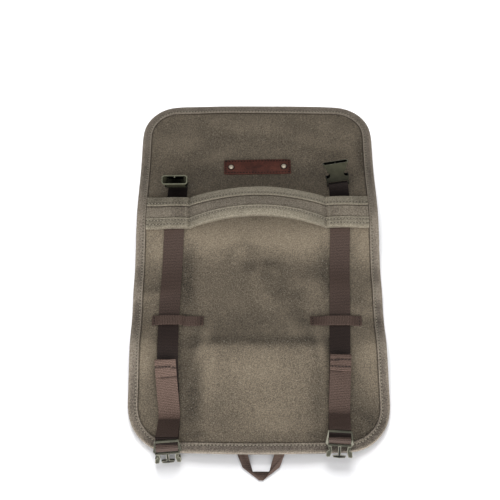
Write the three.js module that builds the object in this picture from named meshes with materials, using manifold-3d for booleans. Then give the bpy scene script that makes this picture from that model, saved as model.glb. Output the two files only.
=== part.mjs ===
// Waxed canvas tool roll, laid open on a flat surface with its outer face up.
// A bound canvas panel carries a grab handle, two webbing straps that run under the handle and through
// keepers, side-release buckles on the strap ends, a riveted leather label and a hanging loop.
// Millimetres. x runs across the roll, y along it towards the label end, z up. The surface is z = 0.
import * as THREE from "three";
import { mergeVertices } from "three/addons/utils/BufferGeometryUtils.js";
import Module from "manifold-3d";

const wasm = await Module();
wasm.setup();

// Driving dimensions
const PANEL = { width: 305, labelEnd: 242.5, hangingEnd: 244.7, thickness: 2.4 };
const PANEL_CORNER = { label: 47, hanging: 55 };
const PANEL_LIE = { labelBow: 1.8, hangingBow: 2.6, drift: 1.2 }; // how its ends bow out and one drifts
const SEAT = 0.45; // clear distance between a piece and what it lies on
const FREE_EDGE = 0.5; // how much further a tape's free edge stands off
const BINDING = { width: 10, wall: 1.1 };
const BAND = { y: 65.5, tilt: 0.008, width: 42, wall: 1.8, endGap: 0.8 };
const BAND_TAPE = { upper: 12.5, lower: 11.5 };
const HANDLE = { half: 90, rise: 33.5, shoulder: 0.06 }; // shoulder: share of the half where it lifts off
const STRAP = { width: 25, thickness: 1.5 };
const KEEPER = { y: -79.5, length: 63, width: 13, thickness: 1.6, foot: 6, puff: 1.2 };
const LABEL = { x: 0.4, y: 146.5, length: 88.5, width: 23.5, thickness: 1.8, turn: 1.2, corner: 0.8 };
const RIVET = { spread: 35, radius: 3.3, dome: 1.5, rim: 0.5, seat: 1 };
const LOOP = { x: 3, tape: 12, thickness: 1.4, legs: 42.5, eye: 18.8, drop: 19.2, point: 10.1, tuck: 7.4 };
const LOOP_TIP = 2.2; // half the width of its blunt point
const CLIP = { width: 32, top: 28.8, slot: 26, bar: 2.2, pitch: 9.7, endBar: 1.25 };
const CLIP_BASE = { length: 4.7, depth: 2.4 };
const CLIP_DEPTH = { base: 5.4, arm: 5.2, guide: 3.6 };
const SOCKET = { mouth: 33, waist: 28.8, depth: 12, length: 30, wall: 1.4, bar: 1.5, slot: 4.6, web: 2.2 };
const SOCKET_CORNER = 3.8; // radius of the long edges of its body
const SOCKET_NECK = { pull: 8.6, at: 21.5 }; // the point that draws its sides in
const SOCKET_WINDOW = { out: 12.4, reach: 3.6, half: 3.9, at: 9.6 };
const SOCKET_RIB = { width: 1.6, height: 1.7, length: 5 };

// Where each strap runs: its middle line from the label end to the hanging end. The socket is given by its
// bar and how it leans and rolls, the clip by its bar, its rise off the canvas, its pitch and its yaw. The
// tail runs down from its folded end, which stands off by lift, to a crease, and then up to the clip.
const STRAPS = [
  {
    side: "left",
    line: [
      { y: 95, x: -103.8 },
      { y: 40, x: -106 },
      { y: -80, x: -109.2 },
      { y: -135, x: -108.2 },
      { y: -165, x: -106.3 },
      { y: -200, x: -103.2 },
      { y: -225, x: -103.9 },
      { y: -260, x: -103.6 },
    ],
    socket: { x: -104, y: 109.4, z: 22, lean: 113, roll: 3 },
    clip: { y: -245, lift: 11.5, pitch: -56, yaw: 4.5 },
    tail: { hem: -138.5, lift: 9, swing: -2, crease: -206 },
    keeperX: -97.9,
  },
  {
    side: "right",
    line: [
      { y: 95, x: 106.6 },
      { y: 40, x: 104.8 },
      { y: -80, x: 100.6 },
      { y: -127, x: 98.2 },
      { y: -200, x: 94.4 },
      { y: -260, x: 91.6 },
    ],
    socket: { x: 104.9, y: 108.4, z: 22.3, lean: 52, roll: 9 },
    clip: { y: -236, lift: 8.8, pitch: -23, yaw: -3.5 },
    tail: { hem: -131, lift: 8, swing: 0.5, crease: -200 },
    keeperX: 95.6,
  },
];

// Folds of the laid canvas. x, y: middle of the fold. turn: its long axis from +x, in degrees.
// half, fade: its full length to each side and the soft end after it. front, back: the widths of its two
// slopes. rise: its height. crisp: 0 for a round crest, 1 for a sharp one.
const FOLDS = [
  // The ridge under the handle and the crest of the lower half
  { x: 0, y: 64, turn: 0, half: 170, fade: 20, front: 80, back: 92, rise: 16, crisp: 0 },
  { x: 3, y: -115, turn: 0, half: 64, fade: 24, front: 158, back: 52, rise: 13, crisp: 0.5 },
  // Both side edges, at the crest and above it
  { x: -150, y: -117, turn: 0, half: 12, fade: 26, front: 70, back: 44, rise: 11, crisp: 0.2 },
  { x: 150, y: -117, turn: 0, half: 12, fade: 28, front: 74, back: 44, rise: 11, crisp: 0.2 },
  { x: -148, y: -38, turn: 0, half: 8, fade: 22, front: 24, back: 24, rise: 4, crisp: 0 },
  { x: 148, y: -40, turn: 0, half: 8, fade: 26, front: 26, back: 24, rise: 4, crisp: 0 },
  // The slanting pleat between them, with its pucker, crook and swell
  { x: 26, y: -62, turn: -58, half: 34, fade: 26, front: 24, back: 20, rise: 3.8, crisp: 0 },
  { x: 4, y: -13, turn: -14, half: 8, fade: 20, front: 24, back: 14, rise: 4, crisp: 0.2 },
  { x: -17, y: 20, turn: 58, half: 12, fade: 14, front: 14, back: 11, rise: 2.5, crisp: 0 },
  { x: 66, y: -34, turn: 10, half: 6, fade: 30, front: 34, back: 30, rise: 4, crisp: 0 },
  // The lifted hanging end
  { x: 4, y: -250, turn: 0, half: 84, fade: 52, front: 20, back: 74, rise: 6.5, crisp: 0 },
  // Swells of the flap
  { x: -104, y: 186, turn: 20, half: 10, fade: 34, front: 36, back: 38, rise: 4, crisp: 0 },
  { x: 108, y: 200, turn: -24, half: 12, fade: 34, front: 30, back: 32, rise: 4, crisp: 0 },
  { x: -18, y: 214, turn: -8, half: 30, fade: 30, front: 22, back: 34, rise: 3, crisp: 0 },
];

// Cross-section of the free handle, from its label side to its hanging side: the share of half its width from
// its middle line, and how far it drops there
const CROWN = [
  { share: 1, drop: 8.5 },
  { share: 0.42, drop: 6 },
  { share: -0.45, drop: 0 },
  { share: -1, drop: 2.2 },
];
const TUNNEL_FADE = 8; // how far the band takes to come down beside a strap
const TUNNEL_EXIT = 1.4; // how far inside the band's edge a strap comes out
const BAND_STATIONS = {
  end: [0, 0.25, 0.4, 0.6, 0.8],
  arch: [1.01, 0.97, 0.93, 0.85, 0.72, 0.56, 0.38, 0.2],
};

// Half outlines of the clip's arms and of its guide, across from the middle and along from the base's end
const CLIP_ARM = [
  { x: 9.6, y: -1 },
  { x: 14, y: -1 },
  { x: 11.8, y: 4.4 },
  { x: 14.4, y: 5.6 },
  { x: 15, y: 10.8 },
  { x: 14, y: 12.2 },
  { x: 10.4, y: 11.8 },
  { x: 8.4, y: 5.2 },
];
const CLIP_GUIDE = [
  { x: 1.5, y: -1 },
  { x: 1.5, y: 9.4 },
  { x: 7.6, y: 10 },
  { x: 6.6, y: 12.4 },
  { x: 0, y: 13 },
];
const CLIP_CORNER = { in: 2.5, pull: 0.6, lean: 0.4 };
const SOCKET_LOBE = { in: 1, out: 1.2, round: 2, end: 9 };

// Path of a strap near its buckles, measured from the bar along the buckle's length
const SOCKET_TURN = { end: 9, straight: 5.5, neck: 3, pinch: 0.75, lead: 7, pull: 0.2 };
const CLIP_TURN = [
  { along: -4.2, up: -0.3 },
  { along: -5.6, up: -1.8 },
];
const CLIP_REACH = { before: 4.5, sag: 0.9, in: 2.3, out: 1.7, run: 4 };
const HEM = 19; // length of a tail's folded end
const STEPS = { rise: 8, run: 32, climb: 3, tail: 8, keeper: 16, label: 10 };
const STRAP_FEELERS = [-0.7, -0.5, -0.25, 0, 0.25, 0.5, 0.7];
const CLIMB = { before: 10, over: 8 }; // where a strap climbs on to the bound edge
const KEEPER_FADE = { gap: 1, over: 7, foot: 10 };

// The bound edge stands this high, and the canvas sags inside it
const EDGE_STAND = BINDING.wall + SEAT + FREE_EDGE;
const EDGE_SAG = { from: 15, to: 46 };
const DRIFT_FROM = 0.3; // share of the way to an end from which the panel drifts, and from which its ends bow
const BOW_FROM = 0.6;
const ROW_STOPS = [
  { y: -115, steps: 6 },
  { y: -63, steps: 5 },
  { y: 64, steps: 10 },
  { y: PANEL.labelEnd - PANEL_CORNER.label, steps: 10 },
];
const PANEL_COLUMNS = 20;
const CORNER_STEPS = 6;

// Colours
const FINISH = {
  canvas: { color: 0x7d7262, roughness: 0.9, metalness: 0 },
  tape: { color: 0x857a69, roughness: 0.88, metalness: 0 },
  webbing: { color: 0x4a3a36, roughness: 0.55, metalness: 0 },
  leather: { color: 0x4f2a20, roughness: 0.6, metalness: 0 },
  plastic: { color: 0x474637, roughness: 0.45, metalness: 0 },
  brass: { color: 0xbfa58a, roughness: 0.35, metalness: 1 },
};

const clamp01 = (t) => Math.min(1, Math.max(0, t));
const smooth = (t) => clamp01(t) ** 2 * (3 - 2 * clamp01(t));
const mix = (a, b, t) => a + (b - a) * t;
const degrees = THREE.MathUtils.degToRad;

// A bump's height share at t widths from its middle
function slope(t, crisp) {
  const away = clamp01(Math.abs(t));
  return mix((1 + Math.cos(Math.PI * away)) / 2, (1 - away) ** 2, crisp);
}

function foldHeight(fold, x, y) {
  const turn = degrees(fold.turn);
  const along = (x - fold.x) * Math.cos(turn) + (y - fold.y) * Math.sin(turn);
  const across = (y - fold.y) * Math.cos(turn) - (x - fold.x) * Math.sin(turn);
  const end = smooth(1 - (Math.abs(along) - fold.half) / fold.fade);
  return fold.rise * end * slope(across / (across < 0 ? fold.front : fold.back), fold.crisp);
}

// The end of the panel that lies on the side of y, with its corner radius and its bow
function endAt(y) {
  if (y < 0) return { reach: PANEL.hangingEnd, radius: PANEL_CORNER.hanging, bow: PANEL_LIE.hangingBow };
  return { reach: PANEL.labelEnd, radius: PANEL_CORNER.label, bow: PANEL_LIE.labelBow };
}

// Half the panel's width at y, with round corners
function halfWidth(y) {
  const { reach, radius } = endAt(y);
  const intoCorner = Math.max(0, Math.abs(y) - (reach - radius));
  return PANEL.width / 2 - radius + Math.sqrt(Math.max(0, radius ** 2 - intoCorner ** 2));
}

// The hanging end lies a little to the right of the rest
function drift(y) {
  return PANEL_LIE.drift * smooth((-y / PANEL.hangingEnd - DRIFT_FROM) / (1 - DRIFT_FROM));
}

// How far a point lies inside the panel's edge, round corners included
function insideEdge(x, y) {
  const { reach, radius } = endAt(y);
  const fromSide = PANEL.width / 2 - Math.abs(x - drift(y));
  const fromEnd = reach - Math.abs(y);
  if (fromSide > radius || fromEnd > radius) return Math.min(fromSide, fromEnd);
  return radius - Math.hypot(radius - fromSide, radius - fromEnd);
}

// Height of the canvas's underside
function canvasUnder(x, y) {
  const stand = EDGE_STAND * smooth(1 - (insideEdge(x, y) - EDGE_SAG.from) / (EDGE_SAG.to - EDGE_SAG.from));
  const folds = FOLDS.reduce((height, fold) => height + foldHeight(fold, x, y), 0);
  return Math.max(folds, 0) + stand;
}
const canvasTop = (x, y) => canvasUnder(x, y) + PANEL.thickness;

// The two short edges bow outwards a little
function bowed(u, y) {
  const { reach, bow } = endAt(y);
  const toEnd = smooth((Math.abs(y) / reach - BOW_FROM) / (1 - BOW_FROM));
  return y + Math.sign(y) * bow * toEnd * (1 - u ** 2);
}

// Closed mesh from vertices and triangles, turned so that its faces point out
function closedMesh(points, triangles) {
  const geometry = new THREE.BufferGeometry();
  geometry.setAttribute("position", new THREE.Float32BufferAttribute(points.flatMap((p) => p.toArray()), 3));
  const volume = triangles.reduce((sum, [a, b, c]) => {
    return sum + points[a].dot(new THREE.Vector3().crossVectors(points[b], points[c]));
  }, 0);
  geometry.setIndex(triangles.flatMap(([a, b, c]) => (volume < 0 ? [a, c, b] : [a, b, c])));
  geometry.computeVertexNormals();
  return geometry;
}

// Skin over rings of equal count. A loop joins the last ring to the first. An open row of rings is closed at
// both ends by a ladder between a ring's first half and its second, which runs back along it.
function skin(rings, { loop = false } = {}) {
  const count = rings[0].length;
  const triangles = [];
  const spans = loop ? rings.length : rings.length - 1;
  for (let i = 0; i < spans; i++) {
    const here = i * count;
    const next = ((i + 1) % rings.length) * count;
    for (let k = 0; k < count; k++) {
      const l = (k + 1) % count;
      triangles.push([here + k, here + l, next + l], [here + k, next + l, next + k]);
    }
  }
  if (!loop) {
    const last = (rings.length - 1) * count;
    for (let k = 0; k < count / 2 - 1; k++) {
      const [a, b, c, d] = [k, k + 1, count - 2 - k, count - 1 - k];
      triangles.push([a, c, b], [a, d, c]);
      triangles.push([last + a, last + b, last + c], [last + a, last + c, last + d]);
    }
  }
  return closedMesh(rings.flat(), triangles);
}

// Solid for joining and cutting, from a three.js geometry
function solid(geometry, matrix = new THREE.Matrix4()) {
  const bare = geometry.index ? geometry.toNonIndexed() : geometry.clone();
  for (const name of Object.keys(bare.attributes)) if (name !== "position") bare.deleteAttribute(name);
  const merged = mergeVertices(bare.applyMatrix4(matrix), 1e-4);
  const vertProperties = new Float32Array(merged.attributes.position.array);
  const triVerts = new Uint32Array(merged.index.array);
  return new wasm.Manifold(new wasm.Mesh({ numProp: 3, vertProperties, triVerts }));
}

function geometryOf(manifold) {
  const mesh = manifold.getMesh();
  const geometry = new THREE.BufferGeometry();
  geometry.setAttribute("position", new THREE.Float32BufferAttribute(mesh.vertProperties, 3));
  geometry.setIndex(Array.from(mesh.triVerts));
  geometry.computeVertexNormals();
  return geometry;
}

function shapeOf(points) {
  return new THREE.Shape(points.map(([x, y]) => new THREE.Vector2(x, y)));
}

// Plate of an outline, centred on z = 0
function plate(shape, depth, curveSegments = 4) {
  const geometry = new THREE.ExtrudeGeometry(shape, { depth, bevelEnabled: false, curveSegments });
  return solid(geometry.translate(0, 0, -depth / 2));
}

function block(width, length, depth, x = 0, y = 0, z = 0) {
  return solid(new THREE.BoxGeometry(width, length, depth).translate(x, y, z));
}

// Rod along x
function rod(radius, length, y, sides = 10) {
  const geometry = new THREE.CylinderGeometry(radius, radius, length, sides).rotateZ(Math.PI / 2);
  return solid(geometry.translate(0, y, 0));
}

function material(finish) {
  return new THREE.MeshStandardMaterial(FINISH[finish]);
}

function piece(name, geometry, finish) {
  const mesh = new THREE.Mesh(geometry, material(finish));
  mesh.name = name;
  return mesh;
}

// Rows of the panel's mesh, from the hanging end to the label end
function panelRows() {
  const rows = [];
  for (let k = 0; k <= CORNER_STEPS; k++) {
    rows.push(-PANEL.hangingEnd + PANEL_CORNER.hanging * (1 - Math.cos((Math.PI / 2) * (k / CORNER_STEPS))));
  }
  for (const stop of ROW_STOPS) {
    const from = rows[rows.length - 1];
    for (let k = 1; k <= stop.steps; k++) rows.push(mix(from, stop.y, k / stop.steps));
  }
  for (let k = 1; k <= CORNER_STEPS; k++) {
    rows.push(PANEL.labelEnd - PANEL_CORNER.label * (1 - Math.sin((Math.PI / 2) * (k / CORNER_STEPS))));
  }
  return rows;
}

function planPoint(u, y) {
  return new THREE.Vector2(u * halfWidth(y) + drift(y), bowed(u, y));
}

// Plan outline of the panel, anticlockwise, through the rim points of its mesh
function panelOutline() {
  const rows = panelRows();
  const steps = Array.from({ length: PANEL_COLUMNS + 1 }, (_, k) => (2 * k) / PANEL_COLUMNS - 1);
  const first = rows[0];
  const last = rows[rows.length - 1];
  const hangingEdge = steps.map((u) => planPoint(u, first));
  const rightEdge = rows.slice(1, -1).map((y) => planPoint(1, y));
  const labelEdge = steps.map((u) => planPoint(-u, last));
  const leftEdge = rows.slice(1, -1).reverse().map((y) => planPoint(-1, y));
  return [...hangingEdge, ...rightEdge, ...labelEdge, ...leftEdge];
}

// Each row of the panel's mesh is one ring: its upper side from left to right, then its underside back
function canvasPanel() {
  const steps = Array.from({ length: PANEL_COLUMNS + 1 }, (_, k) => (2 * k) / PANEL_COLUMNS - 1);
  const rings = panelRows().map((y) => {
    const plan = steps.map((u) => planPoint(u, y));
    const upper = plan.map((p) => new THREE.Vector3(p.x, p.y, canvasTop(p.x, p.y)));
    const under = plan.map((p) => new THREE.Vector3(p.x, p.y, canvasUnder(p.x, p.y)));
    return [...upper, ...under.reverse()];
  });
  return skin(rings);
}

// Tape folded round an edge: its outline, from the upper free edge round the fold to the lower free edge.
// out is measured outwards from the edge, up from the cloth's upper side, down from its underside.
function foldedTape(width, wall) {
  return [
    { out: -width, side: 1, off: SEAT + FREE_EDGE + wall },
    { out: SEAT + wall, side: 1, off: SEAT + wall },
    { out: SEAT + wall, side: -1, off: SEAT + wall },
    { out: -width, side: -1, off: SEAT + FREE_EDGE + wall },
    { out: -width, side: -1, off: SEAT + FREE_EDGE },
    { out: SEAT, side: -1, off: SEAT },
    { out: SEAT, side: 1, off: SEAT },
    { out: -width, side: 1, off: SEAT + FREE_EDGE },
  ];
}

function edgeBinding() {
  const outline = panelOutline();
  const rings = outline.map((p, i) => {
    const before = outline[(i + outline.length - 1) % outline.length];
    const after = outline[(i + 1) % outline.length];
    const run = after.clone().sub(before).normalize();
    const outwards = new THREE.Vector2(run.y, -run.x);
    return foldedTape(BINDING.width, BINDING.wall).map(({ out, side, off }) => {
      const plan = p.clone().addScaledVector(outwards, out);
      const foot = p.clone().addScaledVector(outwards, Math.min(out, 0));
      const cloth = side > 0 ? canvasTop(foot.x, foot.y) : canvasUnder(foot.x, foot.y);
      return new THREE.Vector3(plan.x, plan.y, cloth + side * off);
    });
  });
  return skin(rings, { loop: true });
}

// Value of a table's column where its key column, which falls from row to row, has a given value
function lookUp(rows, key, name, value) {
  const next = rows.findIndex((row) => row[key] <= value);
  if (next === 0) return rows[0][name];
  if (next < 0) return rows[rows.length - 1][name];
  const [from, to] = [rows[next - 1], rows[next]];
  return mix(from[name], to[name], (value - from[key]) / (to[key] - from[key]));
}
const strapX = (strap, y) => lookUp(strap.line, "y", "x", y);

// Middle line of the grab handle's band
const bandY = (x) => BAND.y + BAND.tilt * x;

// Height of the grab handle's band over the canvas at x: tunnels over the straps and an arch between
function bandClearance(x) {
  const away = Math.abs(x);
  if (away < HANDLE.half) {
    const share = away / HANDLE.half;
    return SEAT + HANDLE.rise * (1 - share ** 2) * smooth((1 - share) / HANDLE.shoulder);
  }
  const strap = STRAPS[x < 0 ? 0 : 1];
  const fromStrap = Math.abs(x - strapX(strap, BAND.y));
  const over = smooth(1 - (fromStrap - STRAP.width / 2) / TUNNEL_FADE);
  return SEAT + (STRAP.thickness + 2 * SEAT + BINDING.wall) * over;
}

// Underside of the band at x and at across, its distance from the band's middle line. The lower tape's wall
// lies between it and the canvas.
function bandUnder(x, across) {
  const lifted = smooth(bandClearance(x) / HANDLE.rise);
  const y = bandY(x) + across;
  const crown = lookUp(CROWN, "share", "drop", across / (BAND.width / 2));
  const overRidge = canvasTop(x, bandY(x)) - crown;
  return mix(canvasTop(x, y), overRidge, lifted) + bandClearance(x) + BINDING.wall + SEAT + FREE_EDGE;
}

function bandStations() {
  const reach = PANEL.width / 2 - BINDING.width - BAND.endGap;
  const stations = [0];
  for (const side of [-1, 1]) {
    for (const share of BAND_STATIONS.end) stations.push(side * mix(reach, HANDLE.half + 2, share));
    for (const share of BAND_STATIONS.arch) stations.push(side * HANDLE.half * share);
  }
  return stations.sort((a, b) => a - b);
}

function bandCore() {
  const ways = [...CROWN.map((row) => row.share), 0].sort((a, b) => a - b);
  const rings = bandStations().map((x) => {
    const under = ways.map((share) => {
      const across = (share * BAND.width) / 2;
      return new THREE.Vector3(x, bandY(x) + across, bandUnder(x, across));
    });
    const upper = under.map((p) => p.clone().setZ(p.z + BAND.wall)).reverse();
    return [...under, ...upper];
  });
  return skin(rings);
}

// Binding of one long edge of the band; side is 1 for the label side
function bandBinding(side) {
  const tape = foldedTape(side > 0 ? BAND_TAPE.upper : BAND_TAPE.lower, BINDING.wall);
  const edge = BAND.width / 2;
  const rings = bandStations().map((x) => {
    return tape.map((corner) => {
      const across = side * (edge + corner.out);
      const foot = side * (edge + Math.min(corner.out, 0));
      const cloth = bandUnder(x, foot) + (corner.side > 0 ? BAND.wall : 0);
      return new THREE.Vector3(x, bandY(x) + across, cloth + corner.side * corner.off);
    });
  });
  return skin(rings);
}

// Highest canvas under a strip of the strap's width
function canvasUnderStrap(x, y) {
  return Math.max(...STRAP_FEELERS.map((share) => canvasTop(x + share * STRAP.width, y)));
}

// Middle of the strap's thickness where it lies on the canvas, or on the bound edge of the hanging end
function strapRest(x, y) {
  const onBinding = smooth((-PANEL.hangingEnd + BINDING.width + CLIMB.before - y) / CLIMB.over);
  return canvasUnderStrap(x, y) + SEAT + onBinding * (BINDING.wall + SEAT) + STRAP.thickness / 2;
}

// Frames of the buckles: across, along towards the other half, and the upper face
function socketFrame({ x, y, z, lean, roll }) {
  const along = new THREE.Vector3(0, Math.cos(degrees(lean)), Math.sin(degrees(lean)));
  const face = new THREE.Vector3(0, -along.z, along.y);
  const turn = new THREE.Matrix4().makeRotationAxis(face, degrees(roll));
  const across = new THREE.Vector3(1, 0, 0).applyMatrix4(turn);
  along.applyMatrix4(turn);
  return new THREE.Matrix4().makeBasis(across, along, face).setPosition(x, y, z);
}

function clipFrame(strap) {
  const { y, lift, pitch, yaw } = strap.clip;
  const x = strapX(strap, y);
  const turn = new THREE.Matrix4().makeRotationZ(degrees(yaw));
  const along = new THREE.Vector3(0, -Math.cos(degrees(pitch)), Math.sin(degrees(pitch)));
  const face = new THREE.Vector3(0, along.z, -along.y);
  along.applyMatrix4(turn);
  face.applyMatrix4(turn);
  const across = new THREE.Vector3().crossVectors(along, face);
  const twoLayers = 2 * STRAP.thickness + 2 * SEAT + CLIP.endBar;
  const z = strapRest(x, y + CLIP.pitch) - STRAP.thickness / 2 + twoLayers + CLIP.pitch * along.z + lift;
  return new THREE.Matrix4().makeBasis(across, along, face).setPosition(x, y, z);
}

// Middle line of a strap: the end sewn back behind the socket's bar, the turn round that bar, the rise from
// the handle, the run on the canvas, the turn round the clip's bar, and the tail with its folded end. Each
// stretch also says which way the webbing's width lies where it starts and where the next one takes over.
function strapLine(strap) {
  const half = STRAP.thickness / 2;
  const layer = half + SEAT / 2;
  const socket = socketFrame(strap.socket);
  const clip = clipFrame(strap);
  const put = (frame, along, up) => new THREE.Vector3(0, along, up).applyMatrix4(frame);
  const turnAt = (frame, radius, angle) => {
    return put(frame, radius * Math.cos(degrees(angle)), radius * Math.sin(degrees(angle)));
  };
  const onCanvas = (y) => new THREE.Vector3(strapX(strap, y), y, strapRest(strapX(strap, y), y));

  const turn = SOCKET.bar + SEAT + half;
  const { end, straight, neck, pinch, lead, pull } = SOCKET_TURN;
  const sewnEnd = [
    put(socket, -end, -layer),
    put(socket, -straight, -layer),
    put(socket, -neck, -pinch * turn),
  ];
  const roundBar = [-75, -45, -15, 15, 45, 75].map((angle) => turnAt(socket, turn, angle));
  const leadIn = [put(socket, -neck, pinch * turn), put(socket, -straight, layer)];

  const exit = onCanvas(bandY(strapX(strap, BAND.y)) + BAND.width / 2 - TUNNEL_EXIT);
  const top = put(socket, -lead, layer);
  const handle = pull * top.distanceTo(exit);
  const downwards = top.clone().sub(put(socket, 0, layer)).normalize();
  const bend = new THREE.CubicBezierCurve3(
    top,
    top.clone().addScaledVector(downwards, handle),
    onCanvas(exit.y + handle),
    exit,
  );
  const rise = bend.getPoints(STEPS.rise).slice(0, -1);
  rise.forEach((p) => p.setZ(Math.max(p.z, strapRest(p.x, p.y))));

  const runEnd = strap.clip.y + CLIP.pitch + CLIP_REACH.run;
  const run = Array.from({ length: STEPS.run + 1 }, (_, k) => onCanvas(mix(exit.y, runEnd, k / STEPS.run)));

  const underEnd = -CLIP.endBar - SEAT - half;
  const clipTurn = CLIP.bar + SEAT + half;
  const roundClip = [
    put(clip, -CLIP_REACH.before, underEnd - CLIP_REACH.sag),
    ...[-90, -60, -30, 0, 30, 60, 90, 120, 150].map((angle) => turnAt(clip, clipTurn, angle)),
    ...CLIP_TURN.map(({ along, up }) => put(clip, along, up)),
    put(clip, -CLIP.pitch + CLIP_REACH.in, underEnd),
    put(clip, -CLIP.pitch - CLIP_REACH.out, underEnd),
  ];

  const { hem, lift, swing, crease } = strap.tail;
  const tailAt = (y) => {
    const share = (y - crease) / (hem - crease);
    return onCanvas(y).add(new THREE.Vector3(swing * share, 0, STRAP.thickness + SEAT + lift * share));
  };
  const fromClip = roundClip[roundClip.length - 1];
  const climb = Array.from({ length: STEPS.climb }, (_, k) => {
    return fromClip.clone().lerp(tailAt(crease), (k + 1) / (STEPS.climb + 1));
  });
  const tail = Array.from({ length: STEPS.tail + 1 }, (_, k) => tailAt(mix(crease, hem, k / STEPS.tail)));
  const tip = tail[tail.length - 1];
  const fold = [-45, 0, 45, 90].map((angle) => {
    const a = degrees(angle);
    return tip.clone().add(new THREE.Vector3(0, layer * Math.cos(a), layer * (1 + Math.sin(a))));
  });
  const folded = [0.5, 1].map((share) => tailAt(hem - HEM * share).add(new THREE.Vector3(0, 0, 2 * layer)));
  const level = new THREE.Vector3(1, 0, 0);
  const rolled = new THREE.Vector3().setFromMatrixColumn(socket, 0);
  const yawed = new THREE.Vector3().setFromMatrixColumn(clip, 0).negate();
  return [
    { points: [...sewnEnd, ...roundBar, ...leadIn], from: rolled, to: rolled },
    { points: rise, from: rolled, to: level },
    { points: run, from: level, to: level },
    { points: roundClip, from: yawed, to: yawed },
    { points: climb, from: yawed, to: level },
    { points: [...tail, ...fold, ...folded], from: level, to: level },
  ];
}

// Flat strip of webbing along its middle line
function strapSolid(strap) {
  const stretches = strapLine(strap);
  const line = stretches.flatMap(({ points }) => points);
  const widths = stretches.flatMap(({ points, from, to }) => {
    return points.map((_, k) => from.clone().lerp(to, k / points.length).normalize());
  });
  const rings = line.map((p, i) => {
    const across = widths[i];
    const run = line[Math.min(i + 1, line.length - 1)].clone().sub(line[Math.max(i - 1, 0)]).normalize();
    const up = new THREE.Vector3().crossVectors(run, across).normalize();
    const side = new THREE.Vector3().crossVectors(up, run).normalize();
    const corner = (s, u) => {
      const edge = p.clone().addScaledVector(side, (s * STRAP.width) / 2);
      return edge.addScaledVector(up, (u * STRAP.thickness) / 2);
    };
    return [corner(-1, -1), corner(1, -1), corner(1, 1), corner(-1, 1)];
  });
  return skin(rings);
}

// Belt loop sewn down at both feet, with the strap passing under its middle
function keeperSolid(strap) {
  const middle = strapX(strap, KEEPER.y);
  const rings = Array.from({ length: STEPS.keeper + 1 }, (_, k) => {
    const x = strap.keeperX + KEEPER.length * (k / STEPS.keeper - 0.5);
    const fromFoot = KEEPER.length / 2 - Math.abs(x - strap.keeperX) - KEEPER.foot;
    const besideStrap = Math.abs(x - middle) - STRAP.width / 2 - KEEPER_FADE.gap;
    const overStrap = smooth(1 - besideStrap / KEEPER_FADE.over);
    const puff = KEEPER.puff * smooth(fromFoot / KEEPER_FADE.foot);
    const edge = (share) => KEEPER.y + share * KEEPER.width;
    const overWebbing = (y) => strapRest(middle, y) + STRAP.thickness / 2;
    const under = (y) => mix(canvasTop(x, y), overWebbing(y), overStrap) + SEAT + puff;
    const corner = (share, up) => {
      return new THREE.Vector3(x, edge(share), under(edge(share)) + up * KEEPER.thickness);
    };
    return [corner(-0.5, 0), corner(0.5, 0), corner(0.5, 1), corner(-0.5, 1)];
  });
  return skin(rings);
}

// Male half of a side-release buckle: strap bars, base, two sprung arms and a guide with a splayed foot.
// Its own frame has the wrapped bar at the origin and the tips towards +y.
function clipSolid() {
  const half = CLIP.width / 2;
  const top = CLIP.top / 2;
  const baseEnd = CLIP_BASE.length + CLIP_BASE.depth;
  const endLine = -CLIP.pitch - CLIP.endBar;
  const { in: corner, pull, lean } = CLIP_CORNER;
  const frame = new THREE.Shape();
  frame.moveTo(-top + corner, endLine);
  frame.lineTo(top - corner, endLine);
  frame.quadraticCurveTo(top - pull, endLine, top - lean, endLine + corner);
  frame.lineTo(half, CLIP_BASE.length - 1);
  frame.lineTo(half - corner, baseEnd);
  frame.lineTo(-half + corner, baseEnd);
  frame.lineTo(-half, CLIP_BASE.length - 1);
  frame.lineTo(-top + lean, endLine + corner);
  frame.quadraticCurveTo(-top + pull, endLine, -top + corner, endLine);

  const arm = (side) => shapeOf(CLIP_ARM.map(({ x, y }) => [side * x, baseEnd + y]));
  const rightHalf = CLIP_GUIDE.map(({ x, y }) => [x, baseEnd + y]);
  const leftHalf = rightHalf.slice(0, -1).reverse().map(([x, y]) => [-x, y]);
  const slotLength = CLIP.pitch - CLIP.endBar + CLIP_BASE.length;
  const slot = block(CLIP.slot, slotLength, CLIP.width, 0, CLIP_BASE.length - slotLength / 2, 0);
  const baseWidth = CLIP.width - 2 * corner - 1;
  const base = block(baseWidth, CLIP_BASE.depth - pull, CLIP_DEPTH.base, 0, baseEnd - CLIP_BASE.depth / 2, 0);
  return plate(frame, 2 * CLIP.endBar, 3)
    .subtract(slot)
    .add(rod(CLIP.bar, CLIP.slot + 1, 0))
    .add(base)
    .add(plate(arm(1), CLIP_DEPTH.arm))
    .add(plate(arm(-1), CLIP_DEPTH.arm))
    .add(plate(shapeOf([...rightHalf, ...leftHalf]), CLIP_DEPTH.guide));
}

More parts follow.
